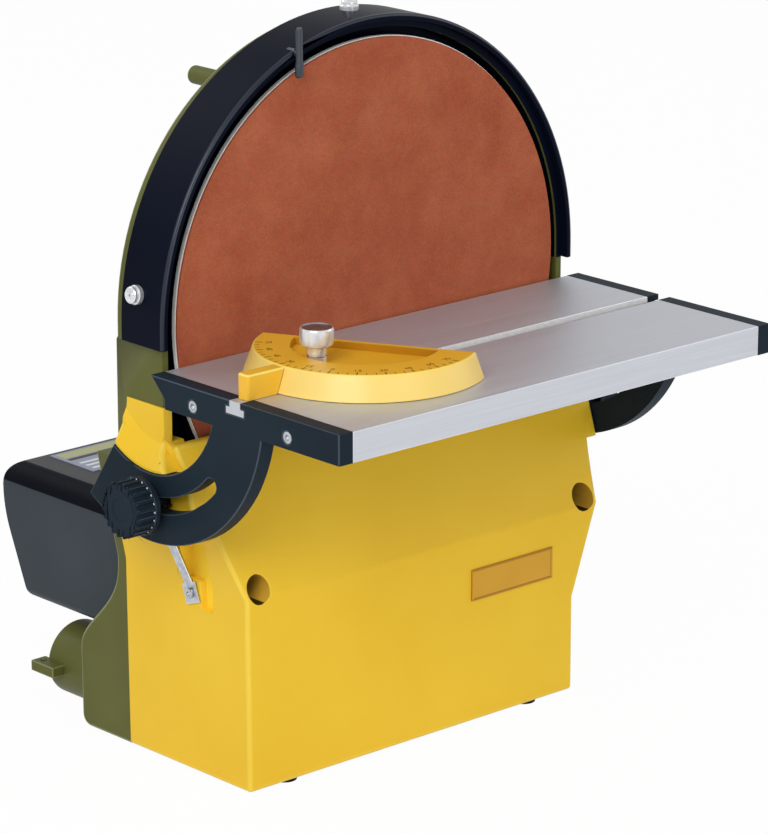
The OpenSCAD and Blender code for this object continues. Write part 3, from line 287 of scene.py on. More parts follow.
def metal(name, dark, light, roughness, run, relief=0.02, purity=1.0):
    material, tree = blank(name)
    where = add(tree, "ShaderNodeTexCoord")
    lay = add(tree, "ShaderNodeMapping", {"Vector": where.outputs["Object"],
                                          "Scale": [1 / (LINE * k) for k in run]})
    lines = add(tree, "ShaderNodeTexNoise", {"Vector": lay.outputs[0], "Scale": 1.0, "Detail": 3.0})
    tint = add(tree, "ShaderNodeValToRGB", {"Fac": lines.outputs["Fac"]})
    tint.color_ramp.elements[0].position = 0.35
    tint.color_ramp.elements[0].color = linear(dark)
    tint.color_ramp.elements[1].position = 0.65
    tint.color_ramp.elements[1].color = linear(light)
    bump = add(tree, "ShaderNodeBump", {"Height": lines.outputs["Fac"], "Strength": 0.3,
                                        "Distance": relief * MM})
    gloss = add(tree, "ShaderNodeMapRange", {"Value": lines.outputs["Fac"], "To Min": roughness * 0.8,
                                             "To Max": roughness * 1.2})
    skin = add(tree, "ShaderNodeBsdfPrincipled", {"Base Color": tint.outputs["Color"], "Metallic": purity,
                                                  "Roughness": gloss.outputs[0], "Normal": bump.outputs[0]})
    add(tree, "ShaderNodeOutputMaterial", {"Surface": skin.outputs[0]})
    return material


ground = metal("ground_aluminium", "C3C6CD", "CBCED5", 0.50, (90, 1, 1), 0.008, 0.75)
# paler edge aluminium: a painted highlight on the table's broken edges
ground_edge_highlight = metal("aluminium_edge_painted_highlight", "D6DAE2", "E4E7EE", 0.30, (90, 1, 1))
turned_alu = metal("turned_aluminium", "D2D4D8", "E4E6E9", 0.30, (3, 1, 3))
# near white: a painted highlight on the disc's front band and on the table slot's back wall
near_white_highlight = metal("near_white_painted_highlight", "F2F1EE", "FBFAF8", 0.42, (3, 1, 3), 0.01, 0.1)
steel = metal("zinc_plated_steel", "A9ADB4", "C3C7CD", 0.30, (4, 4, 4))
chrome = metal("polished_chrome", "D9DBDF", "E9EAED", 0.12, (6, 6, 6), 0.005)
nickel = metal("satin_nickel", "DADCE0", "E6E8EB", 0.22, (6, 6, 6), 0.005, 0.6)
# darker nickel: a painted dark reflection on the lock knob's dished top
nickel_dish_reflection = metal("nickel_painted_dark_reflection", "8E9197", "9EA1A7", 0.34, (6, 6, 6), 0.005)
brass = metal("turned_brass", "A87D30", "BE9344", 0.28, (3, 3, 3))
print("metals made:", len(bpy.data.materials) - 1 - plastics)

# %% [markdown]
# ## Abrasive sheet
# Sanding paper is reddish-brown grit in resin on a cloth disc. Real 80 grit is 0.2 mm; it is drawn at
# 0.9 mm. The resin dries in faint clouds some 25 mm across, which is what the eye notices from a metre off.

# %% Grit finish
GRIT = 0.9 * MM
CLOUD = 26 * MM
grit, tree = blank("brown_grit_in_resin")
where = add(tree, "ShaderNodeTexCoord")
cloud = add(tree, "ShaderNodeTexNoise", {"Vector": where.outputs["Object"], "Scale": 1 / CLOUD,
                                         "Detail": 6.0, "Roughness": 0.62})
tint = add(tree, "ShaderNodeValToRGB", {"Fac": cloud.outputs["Fac"]})
tint.color_ramp.elements[0].position = 0.3
tint.color_ramp.elements[0].color = linear("9C4E34")
tint.color_ramp.elements[1].position = 0.7
tint.color_ramp.elements[1].color = linear("AE6143")
seeds = add(tree, "ShaderNodeTexVoronoi", {"Vector": where.outputs["Object"], "Scale": 1 / GRIT})
speck = add(tree, "ShaderNodeMix", {0: 0.14, 6: tint.outputs["Color"], 7: seeds.outputs["Color"]},
            data_type="RGBA", blend_type="SOFT_LIGHT")
bump = add(tree, "ShaderNodeBump", {"Height": seeds.outputs["Distance"], "Strength": 0.6,
                                    "Distance": 0.25 * MM})
skin = add(tree, "ShaderNodeBsdfPrincipled", {"Base Color": speck.outputs[2], "Roughness": 0.85,
                                              "Specular IOR Level": 0.15, "Normal": bump.outputs[0]})
add(tree, "ShaderNodeOutputMaterial", {"Surface": skin.outputs[0]})
print("grit drawn at", GRIT / MM, "mm")

# %% [markdown]
# ## Working on a copy of a solid
# A CAD solid has knife-sharp edges, and no moulding or casting does. To soften them by hand, the mesh is
# copied, its loose triangles are merged, its flat faces are melted together, and then the wanted edges are
# picked and bevelled. The bevel takes a second material, so a rounded edge gets its own paler finish: a
# painted highlight.

# %% Copying helpers
MERGE = 0.004 * MM
FLAT = math.radians(0.6)


def take(piece):
    bpy.ops.object.select_all(action="DESELECT")
    piece.select_set(True)
    bpy.context.view_layer.objects.active = piece
    return piece


def editing(piece, mode="VERT", action="SELECT"):
    take(piece)
    bpy.ops.object.mode_set(mode="EDIT")
    bpy.ops.mesh.select_mode(type=mode)
    bpy.ops.mesh.select_all(action=action)


def done():
    bpy.ops.object.mode_set(mode="OBJECT")


def wear(piece, *finishes):
    piece.data.materials.clear()
    for finish in finishes:
        piece.data.materials.append(finish)
    return piece


def copied(node, *finishes):
    source = frame["nodes"][node]
    piece = source.copy()
    piece.data = source.data.copy()
    bpy.context.scene.collection.objects.link(piece)
    piece.name = node + "_dressed"
    del piece["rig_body"]
    del piece["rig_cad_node"]
    piece.parent = None
    take(piece)
    bpy.ops.mesh.customdata_custom_splitnormals_clear()
    editing(piece)
    bpy.ops.mesh.remove_doubles(threshold=MERGE)
    bpy.ops.mesh.dissolve_limited(angle_limit=FLAT)
    done()
    wear(piece, *finishes)
    for face in piece.data.polygons:
        face.material_index = 0
    return piece


def spindle_mm(v):
    return Vector((v.x / MM, v.y / MM - FACE_Y, v.z / MM - SPINDLE_Z))


print("copies merge points closer than", MERGE / MM, "mm")

# %% [markdown]
# ## Picking edges and faces
# Edges are picked by how sharp they are and where they lie, faces by where they lie and which way they look.
# All places are in millimetres from the spindle, so a rule reads like a note on a drawing.

# %% Picking helpers
SHARP = 30.0


def soften(piece, keep, width, segments=3, slot=1, angle=SHARP):
    editing(piece, "EDGE", "DESELECT")
    done()
    mesh = piece.data
    beside = {}
    for face in mesh.polygons:
        for key in face.edge_keys:
            beside.setdefault(key, []).append(face)
    picked = 0
    for edge in mesh.edges:
        pair = beside.get(edge.key, [])
        if len(pair) != 2 or pair[0].normal.angle(pair[1].normal, 0) < math.radians(angle):
            continue
        middle = (mesh.vertices[edge.vertices[0]].co + mesh.vertices[edge.vertices[1]].co) / 2
        convex = pair[0].normal.dot(pair[1].center - middle) < 0
        if convex and keep(spindle_mm(middle), pair):
            edge.select = True
            picked += 1
    if picked:
        bpy.ops.object.mode_set(mode="EDIT")
        bpy.ops.mesh.bevel(offset=width * MM, segments=segments, affect="EDGES", clamp_overlap=False,
                           material=slot)
        done()
    return picked


def pick_faces(piece, keep):
    editing(piece, "FACE", "DESELECT")
    done()
    for face in piece.data.polygons:
        face.select = keep(spindle_mm(face.center), face.normal)
    bpy.ops.object.mode_set(mode="EDIT")


def sink(piece, keep, steps):
    pick_faces(piece, keep)
    for thickness, depth in steps:
        bpy.ops.mesh.inset(thickness=thickness * MM, depth=depth * MM)
    done()


def paint(piece, slot, keep):
    for face in piece.data.polygons:
        if keep(spindle_mm(face.center), face.normal):
            face.material_index = slot


def smooth(piece, angle=32.0):
    take(piece)
    bpy.ops.object.shade_smooth_by_angle(angle=math.radians(angle))
    evened = piece.modifiers.new("evened_normals", "WEIGHTED_NORMAL")
    evened.keep_sharp = True
    bpy.ops.object.modifier_apply(modifier=evened.name)
    return piece


def stand_in(piece, node):
    smooth(piece)
    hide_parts(node)
    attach(piece, body_of[node])
    print(node, "dressed,", len(piece.data.polygons), "faces")
    return piece


def everywhere(middle, pair):
    return True


print("an edge counts as sharp from", SHARP, "degrees")

# %% [markdown]
# ## Front housing
# The yellow shell is one moulding with corners of nearly two millimetres. It could be built again from a
# cube, but the solid already has its pads, wells and niche in the right places, so a copy is bevelled. Where
# the front wall meets the sloping panel the mould is blended over a centimetre: two cuts, six millimetres
# either side of the crease, hold the smooth shading in that band. The screw wells and the pointer's niche
# get smaller edges. The wells' walls are painted shade, because little light comes back out of them, and
# all but their lit right walls a darker painted shadow. The niche is painted a brighter yellow as painted
# light against its shade. The rounded edges are painted paler as a highlight.

# %% Front housing
WELL_X = (-110.0, 110.0)
WELL_Z = -124.0
WELL_R = 7.0
WELL_FLOOR = -24.0
NICHE_Y = (-17.5, 3.5)
NICHE_Z = (-140.5, -103.5)
CREASE_Z = -128.0
BLEND = 6.0
KNOB_Z = -82.3
heart = place(-5, 5, -150)


def looks_out(face):
    return face.normal.dot(face.center - heart) > 0


def in_well(p, spare=1.5):
    return min(math.hypot(p.x - x, p.z - WELL_Z) for x in WELL_X) < WELL_R + spare and p.y < -21


def well_wall(p, n):
    return in_well(p, 0.3) and (abs(n.y) < 0.3 or p.y > WELL_FLOOR - 1)


def in_niche(p):
    return p.x < -105 and -21 < p.y < 14 and -144 < p.z < -100


def outer_corner(p, pair):
    if in_well(p) or in_niche(p) or p.y > 40 or p.z > -50:
        return False
    return looks_out(pair[0]) and looks_out(pair[1])


def pad_edge(p, pair):
    by_the_stud = math.hypot(p.y, p.z - KNOB_Z) < 7
    return 134.2 < abs(p.x) < 134.8 and p.z > -112 and not by_the_stud


def niche_wall(p, n):
    inside = p.x < -105 and NICHE_Y[0] < p.y < NICHE_Y[1] and NICHE_Z[0] < p.z < NICHE_Z[1]
    return inside and (p.x > -118.5 or abs(n.y) > 0.9 or abs(n.z) > 0.9)


front = copied("front_housing", yellow, yellow_edge_highlight, well_painted_shade, well_painted_shadow, niche_painted_light)
for side in (-BLEND, BLEND):
    editing(front)
    bpy.ops.mesh.bisect(plane_co=place(0, 0, CREASE_Z + side), plane_no=(0, 0, 1))
    done()
# the corner, well-mouth and niche bevels take the paler yellow, a painted highlight; the pads' stay plain
corners = soften(front, outer_corner, 1.9, 4)
mouths = soften(front, lambda p, pair: in_well(p, 0.6) and p.y < -27, 0.5, 2)
lips = soften(front, lambda p, pair: in_niche(p), 0.5, 2)
pads = soften(front, pad_edge, 0.9, 3, 0)
# painted shade in the wells, a darker painted shadow on all but their right walls, painted light in the niche
paint(front, 2, well_wall)
paint(front, 3, lambda p, n: well_wall(p, n) and n.x > -0.3)
paint(front, 4, niche_wall)
stand_in(front, "front_housing")
print("corners", corners, "well mouths", mouths, "niche", lips, "pads", pads)

# %% [markdown]
# ## Rear housing, guard and disc
# The olive shell carries the dome. Inside the dome and on its front rim it is painted black as shade, with
# the guard's finish. A second object could line the dome, but the dark is only painted shade, so two cuts
# in the copy mark where it ends and the faces inside take the guard's finish. The shell's rounded edges are
# painted paler olive as a highlight.

# %% Rear housing
DOME_R = 133.4
RIM_SHOWN = 2.6
GUARD_END = -8.0


def dome_back_edge(p, pair):
    return p.z > -60 and abs(math.hypot(p.x, p.z) - DOME_R) < 0.8 and p.y > 34


def rear_corner(p, pair):
    return p.z < -46 and p.y > 54 and all(f.normal.dot(f.center - place(0, 40, -160)) > 0 for f in pair)


def inside_dome(p, n):
    r = math.hypot(p.x, p.z)
    deep = p.y > RIM_SHOWN and n.x * p.x + n.z * p.z < 0
    return p.y < 35.5 and p.z > GUARD_END and r < DOME_R - 0.2 and (n.y < -0.5 or deep)


rear = copied("rear_housing", olive, olive_edge_highlight, guard_black_and_shade)
editing(rear)
bpy.ops.mesh.bisect(plane_co=place(0, 0, GUARD_END), plane_no=(0, 0, 1))
bpy.ops.mesh.select_all(action="SELECT")
bpy.ops.mesh.bisect(plane_co=place(0, RIM_SHOWN, 0), plane_no=(0, 1, 0))
done()
# painted shade: the dome's inside takes the guard's black
paint(rear, 2, inside_dome)
# the dome's back edge and rear corners take the paler olive, a painted highlight
backs = soften(rear, dome_back_edge, 1.6, 3)
ends = soften(rear, rear_corner, 1.6, 3)
stand_in(rear, "rear_housing")
print("dome edge", backs, "corners", ends)

# %% [markdown]
# ## Guard, disc and sheet
# The guard is a moulded hoop: its front edge is well rounded, so it gets a wide bevel in a lighter finish,
# a painted highlight, and its cut ends get a narrow one. The disc is turned aluminium. The first millimetres
# of its edge are painted near white as a highlight; behind them, in the dark of the dome, the edge is painted
# black as shade, and a cut parts the bright band from the black one.

# %% Guard hoop
GUARD_FRONT = -3.0
GUARD_BACK = 27.0
GUARD_R = 136.0
guard = copied("disc_guard", guard_black_and_shade, guard_edge_highlight)
# the rounded front edge takes the lighter edge finish, a painted highlight
rims = soften(guard, lambda p, pair: p.y < GUARD_FRONT and math.hypot(p.x, max(p.z, 0)) > GUARD_R, 1.5, 4)
soften(guard, lambda p, pair: p.y > GUARD_BACK or p.z < GUARD_END + 1, 0.5, 2, 0)
stand_in(guard, "disc_guard")
print("guard front edge", rims)

# %% Disc and sheet
BRIGHT_Y = 3.4
DISC_SIDE = 124.5
disc = copied("sanding_disc", turned_alu, near_white_highlight, guard_black_and_shade)
editing(disc)
bpy.ops.mesh.bisect(plane_co=place(0, BRIGHT_Y, 0), plane_no=(0, 1, 0))
done()
# painted highlight on the front band of the edge, painted shade behind it
soften(disc, lambda p, pair: math.hypot(p.x, p.z) > DISC_SIDE + 0.5 and p.y < BRIGHT_Y, 0.3, 2)
paint(disc, 1, lambda p, n: math.hypot(p.x, p.z) > DISC_SIDE and p.y < BRIGHT_Y)
paint(disc, 2, lambda p, n: math.hypot(p.x, p.z) > DISC_SIDE and p.y > BRIGHT_Y)
stand_in(disc, "sanding_disc")
sheet = copied("abrasive_sheet", grit)
soften(sheet, lambda p, pair: p.y < 0.1, 0.25, 2, 0)
stand_in(sheet, "abrasive_sheet")

# %% [markdown]
# ## Motor cover, dust port and pegs
# The cover's rounded shoulders are painted nearly black, a painted reflection of the dark room behind,
# and its flat top a lighter grey as painted light; its sides are satin. All three are one moulding: the faces
# are told apart by how far they look up. The port, the pegs and the gland are small mouldings whose sharp
# edges are all rounded, and painted paler as a highlight.

# %% Cover, port, pegs
cover = copied("motor_cover", slate, slate_shoulder_reflection, slate_top_painted_light)
soften(cover, lambda p, pair: p.y > 60, 1.0, 3)
# painted dark reflection on the shoulders, painted light on the flat top
paint(cover, 1, lambda p, n: 0.15 < n.z < 0.97)
paint(cover, 2, lambda p, n: n.z > 0.97)
stand_in(cover, "motor_cover")
# each moulding's rounded edges take its paler twin, a painted highlight
MOULDINGS = [
    ("dust_port", 0.6, olive, olive_edge_highlight, "olive_plastic"),
    ("cord_pegs", 1.2, olive, olive_edge_highlight, "olive_plastic"),
    ("cord_gland", 0.6, nylon, nylon_edge_highlight, "black_plastic"),
]
for node, width, finish, edge, slot in MOULDINGS:
    piece = copied(node, finish, edge)
    soften(piece, everywhere, width, 3)
    stand_in(piece, node)

# %% [markdown]
# ## Table and end caps
# The plate is an extrusion with a ground top, so only its long edges are broken, by less than half a
# millimetre, and the breaks are painted paler as a highlight. The slot is milled after grinding; its back
# wall is painted near white, a painted highlight for the bright line it shows. The end caps are black nylon,
# and the edges of their outer face are painted paler as a fine highlight line.

# %% Table
CAP_FACE = 143.5
SLOT_Y = 64.0
plate = copied("table_plate", ground, ground_edge_highlight, near_white_highlight)
soften(plate, lambda p, pair: p.z > -19.5 or p.y < -130, 0.4, 2)
# painted highlight: the slot's back wall is painted near white
paint(plate, 2, lambda p, n: abs(p.y + SLOT_Y) < 8 and n.y < -0.9 and p.z > -25)
stand_in(plate, "table_plate")
for node in ("left_end_cap", "right_end_cap"):
    piece = copied(node, nylon, nylon_edge_highlight)
    soften(piece, lambda p, pair: abs(p.x) > CAP_FACE - 0.1, 0.55, 2)
    stand_in(piece, node)

# %% [markdown]
# ## Turning and marking
# Round pieces are turned: a half outline is drawn point by point and spun about its axis. Ticks are one thin
# plane spun in copies, and figures are plain numbers turned into meshes.

# %% Turning helper


def turned(name, outline, steps=64):
    bpy.ops.object.select_all(action="DESELECT")
    bpy.ops.mesh.primitive_circle_add(vertices=3, radius=MM)
    piece = bpy.context.object
    piece.name = name
    editing(piece)
    bpy.ops.mesh.merge(type="CENTER")
    here = Vector((outline[0][0], 0, outline[0][1])) * MM
    bpy.ops.transform.translate(value=here)
    for r, h in outline[1:]:
        there = Vector((r, 0, h)) * MM
        bpy.ops.mesh.extrude_vertices_move(TRANSFORM_OT_translate={"value": there - here})
        here = there
    bpy.ops.mesh.select_all(action="SELECT")
    bpy.ops.mesh.spin(steps=steps, angle=2 * math.pi, center=(0, 0, 0), axis=(0, 0, 1))
    bpy.ops.mesh.select_all(action="SELECT")
    bpy.ops.mesh.remove_doubles(threshold=0.02 * MM)
    bpy.ops.mesh.normals_make_consistent(inside=False)
    done()
    return piece


print("turning: outline points are (radius, height) in millimetres")

# %% Marking helpers


def joined(pieces, name):
    take(pieces[0])
    for piece in pieces[1:]:
        piece.select_set(True)
    if len(pieces) > 1:
        bpy.ops.object.join()
    pieces[0].name = name
    return pieces[0]


def ticks(name, centre, turn, sweep, count, inner, outer, width):
    bpy.ops.object.select_all(action="DESELECT")
    bpy.ops.mesh.primitive_plane_add(size=1)
    piece = bpy.context.object
    piece.name = name
    editing(piece)
    bpy.ops.transform.resize(value=((outer - inner) * MM, width * MM, 1))
    bpy.ops.transform.translate(value=((inner + outer) / 2 * MM, 0, 0))
    bpy.ops.mesh.extrude_region_move(TRANSFORM_OT_translate={"value": (0, 0, 0.05 * MM)})
    bpy.ops.mesh.select_all(action="SELECT")
    if count > 1:
        bpy.ops.mesh.spin(dupli=True, steps=count - 1, angle=-math.radians(sweep), center=(0, 0, 0),
                          axis=(0, 0, 1))
    bpy.ops.mesh.select_all(action="SELECT")
    bpy.ops.mesh.normals_make_consistent(inside=False)
    done()
    piece.data.transform(centre @ turn)
    return piece


def figure(words, size, where):
    bpy.ops.object.select_all(action="DESELECT")
    bpy.ops.object.text_add()
    piece = bpy.context.object
    piece.data.body = words
    piece.data.size = size * MM
    piece.data.extrude = 0.03 * MM
    piece.data.align_x = "CENTER"
    piece.data.align_y = "CENTER"
    bpy.ops.object.convert(target="MESH")
    piece = bpy.context.object
    piece.data.transform(where)
    return piece


def turn_z(degrees):
    return Matrix.Rotation(math.radians(degrees), 4, "Z")


print("ticks are", 0.05, "mm thick")

# %% [markdown]
# ## Clamp knobs
# A grooved grip with a ringed face. The grooves come from the solid; the ringed face is turned and laid on
# it, because rings are easier to draw as an outline than to inset. Where each groove runs out against the
# flange a row of small white dots is painted as glints of light. The grooves' edges are painted paler as a
# highlight.

# %% Clamp knobs
GLINTS_X = 151.42
for node in ("left_clamp_knob", "right_clamp_knob"):
    low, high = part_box(node)
    side = -1 if high.x < 0 else 1
    tip = spindle_mm(low).x if side < 0 else spindle_mm(high).x
    piece = copied(node, nylon, nylon_edge_highlight)
    soften(piece, lambda p, pair: abs(p.x - tip) > 0.2, 0.3, 2)
    soften(piece, lambda p, pair: abs(p.x - tip) < 0.2, 0.5, 2, 0)
    pick_faces(piece, lambda p, n: abs(p.x - tip) < 0.05 and n.x * side > 0.9)
    bpy.ops.transform.translate(value=(-side * 0.45 * MM, 0, 0))
    done()
    stand_in(piece, node)
    outwards = Matrix.Rotation(math.radians(90 * side), 4, "Y")
    face = turned("knob_face", [
        (0, -0.42), (6.0, -0.42), (6.4, -0.1), (9.4, -0.1), (9.9, -0.5), (0, -0.6)], 48)
    face.data.transform(Matrix.Translation(place(tip, 0, KNOB_Z)) @ outwards)
    wear(face, nylon)
    smooth(face)
    face.name = node + "_face"
    # painted glints: a row of white dots where the grooves meet the flange
    glints = ticks(node + "_painted_glints", Matrix.Translation(place(side * GLINTS_X, 0, KNOB_Z)) @ outwards, turn_z(0),
                 342, 20, 13.1, 14.0, 0.9)
    wear(glints, white_ink_and_glints)
    for extra in (face, glints):
        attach(extra, body_of[node])

# %% [markdown]
# ## Mitre gauge
# The head and the arm are moulded in a warmer yellow. The floor of the head's recess is painted a deeper
# amber as shade and its edge a darker painted shadow line; the rim's side is painted paler as a highlight,
# and the rounded edges too. The lock knob is turned in one go, with a grooved neck and a dished top painted
# dark as a reflection.

# %% Gauge head and arm
PIVOT = (-61.5, -64.0)
ZERO = 180.0 + 28.6
recess = place(PIVOT[0] + 14 * math.cos(math.radians(ZERO)), PIVOT[1] + 14 * math.sin(math.radians(ZERO)), 0)


def from_pivot(p):
    return math.hypot(p.x - PIVOT[0], p.y - PIVOT[1])


def recess_edge(p, pair):
    wall = min(pair, key=lambda f: abs(f.normal.z))
    return abs(wall.normal.z) < 0.5 and wall.normal.xy.dot((recess - wall.center).xy) > 0


gauge = copied("mitre_head", gauge_yellow, gauge_edge_highlight, gauge_floor_shade, gauge_side_highlight, gauge_recess_shadow)
top = spindle_mm(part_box("mitre_head")[1]).z
# the recess edge is a darker painted shadow line, the other edges a paler painted highlight
soften(gauge, lambda p, pair: p.z > top - 0.3 and recess_edge(p, pair), 0.4, 2, 4)
soften(gauge, lambda p, pair: p.z > -16.5 and not recess_edge(p, pair), 0.7, 3)
# painted shade on the recess floor and walls, painted highlight on the rim's side
paint(gauge, 2, lambda p, n: n.z > 0.9 and -12 < p.z < top - 1.0)
paint(gauge, 4, lambda p, n: abs(n.z) < 0.2 and p.z > top - 2.5 and from_pivot(p) < 40
      and n.xy.dot((recess - place(*p)).xy) > 0)
paint(gauge, 3, lambda p, n: abs(n.z) < 0.5 and from_pivot(p) > 48)
stand_in(gauge, "mitre_head")
arm = copied("mitre_arm", gauge_yellow, gauge_edge_highlight)
soften(arm, lambda p, pair: all(abs(f.normal.z) < 0.3 for f in pair), 2.0, 4, 0)
soften(arm, lambda p, pair: p.z > -16.5, 0.9, 3)
stand_in(arm, "mitre_arm")

# %% Lock knob
LOCK = (-92.5, -64.0)
low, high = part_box("mitre_knob")
base, top = spindle_mm(low).z, spindle_mm(high).z
brow = top - 0.9
chin = brow - 9.4
floor_z = -8.6
lock = turned("lock_knob", [
    (0, brow - 0.6), (6.9, brow - 0.6), (7.4, brow - 0.1), (7.75, brow - 0.15), (8.25, brow - 0.9),
    (8.25, chin + 2.2), (7.7, chin + 0.9), (6.6, chin + 0.15), (5.0, chin), (4.8, chin - 0.4),
    (4.8, chin - 3.6), (4.4, chin - 3.9), (4.4, chin - 4.5), (4.8, chin - 4.8), (4.8, floor_z),
    (2.5, floor_z - 0.1), (2.5, base), (0, base)], 72)
lock.data.transform(Matrix.Translation(place(*LOCK, 0)))
wear(lock, nickel, nickel_dish_reflection)
# painted dark reflection on the dished top
paint(lock, 1, lambda p, n: n.z > 0.3 and math.hypot(p.x - LOCK[0], p.y - LOCK[1]) < 7.45)
stand_in(lock, "mitre_knob")

# %% [markdown]
# ## Degree scale
# The scale on the gauge's rim is printed. An image would do, but thin solids stay sharp at any distance: one
# tick, made from a plane and spun round the pivot in copies, and plain numbers every fifteen degrees to both
# sides of zero. It turns with the head.

# %% Degree scale
scale_z = spindle_mm(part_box("mitre_head")[1]).z + 0.03
hub = Matrix.Translation(place(*PIVOT, scale_z))
marks = [ticks("fine_ticks", hub, turn_z(ZERO - 75), 150, 31, 50.6, 53.0, 0.4),
         ticks("long_ticks", hub, turn_z(ZERO - 75), 150, 11, 49.4, 53.0, 0.55)]
FIGURES_R = 46.6
FIGURE_SIZE = 4.2
for angle in range(-75, 90, 15):
    bearing = math.radians(ZERO + angle)
    at = place(PIVOT[0] + FIGURES_R * math.cos(bearing), PIVOT[1] + FIGURES_R * math.sin(bearing), scale_z)
    upright = turn_z(math.degrees(bearing) + 90)
    marks.append(figure(str(abs(angle)), FIGURE_SIZE, Matrix.Translation(at) @ upright))
scale = wear(joined(marks, "gauge_scale"), dark_ink)
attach(scale, "gauge_head")
print("scale faces:", len(scale.data.polygons))

# %% [markdown]
# ## Screws
# The collared screws on the guard are nickel-plated and turned, rings and all, so one outline is spun for
# each. Their sockets, and those of the other screws in sight, are cut with a six-sided tool by a Boolean,
# which leaves clean flat walls.

# %% Sockets and guard screws
ALONG = {"X": Matrix.Rotation(math.radians(90), 4, "Y"), "Y": Matrix.Rotation(math.radians(90), 4, "X")}
GUARD_SCREWS = (7, 90, 173)
SCREW_TIP = 141.95


def socket(piece, spots, r, depth):
    tools = []
    for where in spots:
        bpy.ops.object.select_all(action="DESELECT")
        bpy.ops.mesh.primitive_cylinder_add(vertices=6, radius=r * MM, depth=2 * depth * MM)
        bpy.context.object.data.transform(where)
        tools.append(bpy.context.object)
    tool = joined(tools, "socket_tool")
    take(piece)
    hollow = piece.modifiers.new("socket", "BOOLEAN")
    hollow.operation = "DIFFERENCE"
    hollow.solver = "EXACT"
    hollow.object = tool
    bpy.ops.object.modifier_apply(modifier=hollow.name)
    bpy.data.objects.remove(tool)


def radial(degrees, distance):
    spoke = Matrix.Translation(place(0, 16, 0)) @ Matrix.Rotation(math.radians(90 - degrees), 4, "Y")
    return spoke @ Matrix.Translation((0, 0, distance * MM))


screws = []
for degrees in GUARD_SCREWS:
    screw = turned("guard_screw", [
        (0, 129.9), (2.0, 129.9), (2.0, 137.0), (4.8, 137.02), (4.8, 139.2), (4.4, 139.8), (3.8, 139.9),
        (3.8, 140.2), (4.1, 140.4), (4.1, 141.4), (3.6, SCREW_TIP), (2.7, SCREW_TIP), (2.4, 141.4),
        (1.9, 141.4), (1.6, 141.8), (0, SCREW_TIP)], 32)
    screw.data.transform(radial(degrees, 0))
    screws.append(screw)
screws = joined(screws, "guard_screws_turned")
socket(screws, [radial(degrees, SCREW_TIP) for degrees in GUARD_SCREWS], 1.0, 1.5)
wear(screws, nickel)
stand_in(screws, "guard_screws")

# %% Other screws
screw_low, screw_high = (spindle_mm(v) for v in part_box("cover_screws"))
MOTOR_Z = (screw_low.z + screw_high.z) / 2
cover_head = screw_high.y
SCREWS = [
    ("end_cap_screws", "X", [(side * 143.4, y, -27.0) for side in (-1, 1) for y in (-33.0, -101.0)],
     1.5, 1.2, 0.35),
    ("pointer_screw", "X", [(-121.8, -1.5, -133.0)], 1.3, 1.0, 0.4),
    ("housing_screws", "Y", [(x, -27.0, WELL_Z) for x in WELL_X], 2.2, 1.8, 0.4),
    ("cover_screws", "Y", [(side * 84.0, cover_head, MOTOR_Z) for side in (-1, 1)], 2.2, 1.8, 0.4),
]
for node, axis, spots, r, depth, width in SCREWS:
    piece = copied(node, steel)
    soften(piece, everywhere, width, 2, 0, 50)
    socket(piece, [Matrix.Translation(place(*p)) @ ALONG[axis] for p in spots], r, depth)
    stand_in(piece, node)

# %% [markdown]
# ## Pointer and lifter
# The tilt pointer is a strip of bright sheet steel, cut and bent, so its solid only loses its burrs. The
# lifter is a small tapered lever moulded round a pin. It is turned like a rod and then pressed flat, which
# gives it the soft oval section that bevels on a block would not.

# %% Pointer and lifter
pointer = copied("tilt_pointer", steel, chrome)
soften(pointer, everywhere, 0.25, 2)
stand_in(pointer, "tilt_pointer")

lifter = turned("lifter_rod", [
    (0, 113.5), (1.7, 113.5), (2.5, 114.4), (2.55, 120.0), (2.05, 122.0), (2.0, 136.4), (1.5, 137.8),
    (0, 138.0)], 24)
flat = Matrix.Diagonal((1.0, 0.58, 1.0, 1.0))
lifter.data.transform(Matrix.Translation(place(-51.0, -5.1, 0)) @ flat)
wear(lifter, lifter_grey)
stand_in(lifter, "sheet_lifter")

pin_low, pin_high = (spindle_mm(v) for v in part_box("lifter_pin"))
PIN_FRONT = -5.3
pin_l = pin_high.y - PIN_FRONT
pin = turned("lifter_pin_flush", [
    (0, 0), (1.6, 0), (1.95, 0.3), (1.95, pin_l - 0.2), (1.7, pin_l), (0, pin_l)], 24)
backwards = Matrix.Rotation(math.radians(-90), 4, "X")
pin.data.transform(Matrix.Translation(place((pin_low.x + pin_high.x) / 2, PIN_FRONT,
                                            (pin_low.z + pin_high.z) / 2)) @ backwards)
wear(pin, lifter_grey)
stand_in(pin, "lifter_pin")

# %% [markdown]
# ## Plates
# The plate on the front is embossed foil: a raised rim round a flat field, made by insetting its face twice.
# The rating plate is a printed label. Its print is a few plain bars, each a thin slab a twenty-fifth of a
# millimetre proud of the label, so that it stays visible without an image.

# %% Badge and rating plate
BADGE_Z = -153.2
badge = copied("badge_plate", badge_gold, badge_rim)
sink(badge, lambda p, n: n.y < -0.9, [(0.9, 0), (0.3, -0.25)])
paint(badge, 1, lambda p, n: not (n.y < -0.9 and abs(p.z - BADGE_Z) < 2))
stand_in(badge, "badge_plate")

low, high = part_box("rating_plate")
rating_low, rating_high = spindle_mm(low), spindle_mm(high)
rating = copied("rating_plate", label_grey)
soften(rating, lambda p, pair: p.z > rating_high.z - 0.1, 0.2, 2, 0)
stand_in(rating, "rating_plate")


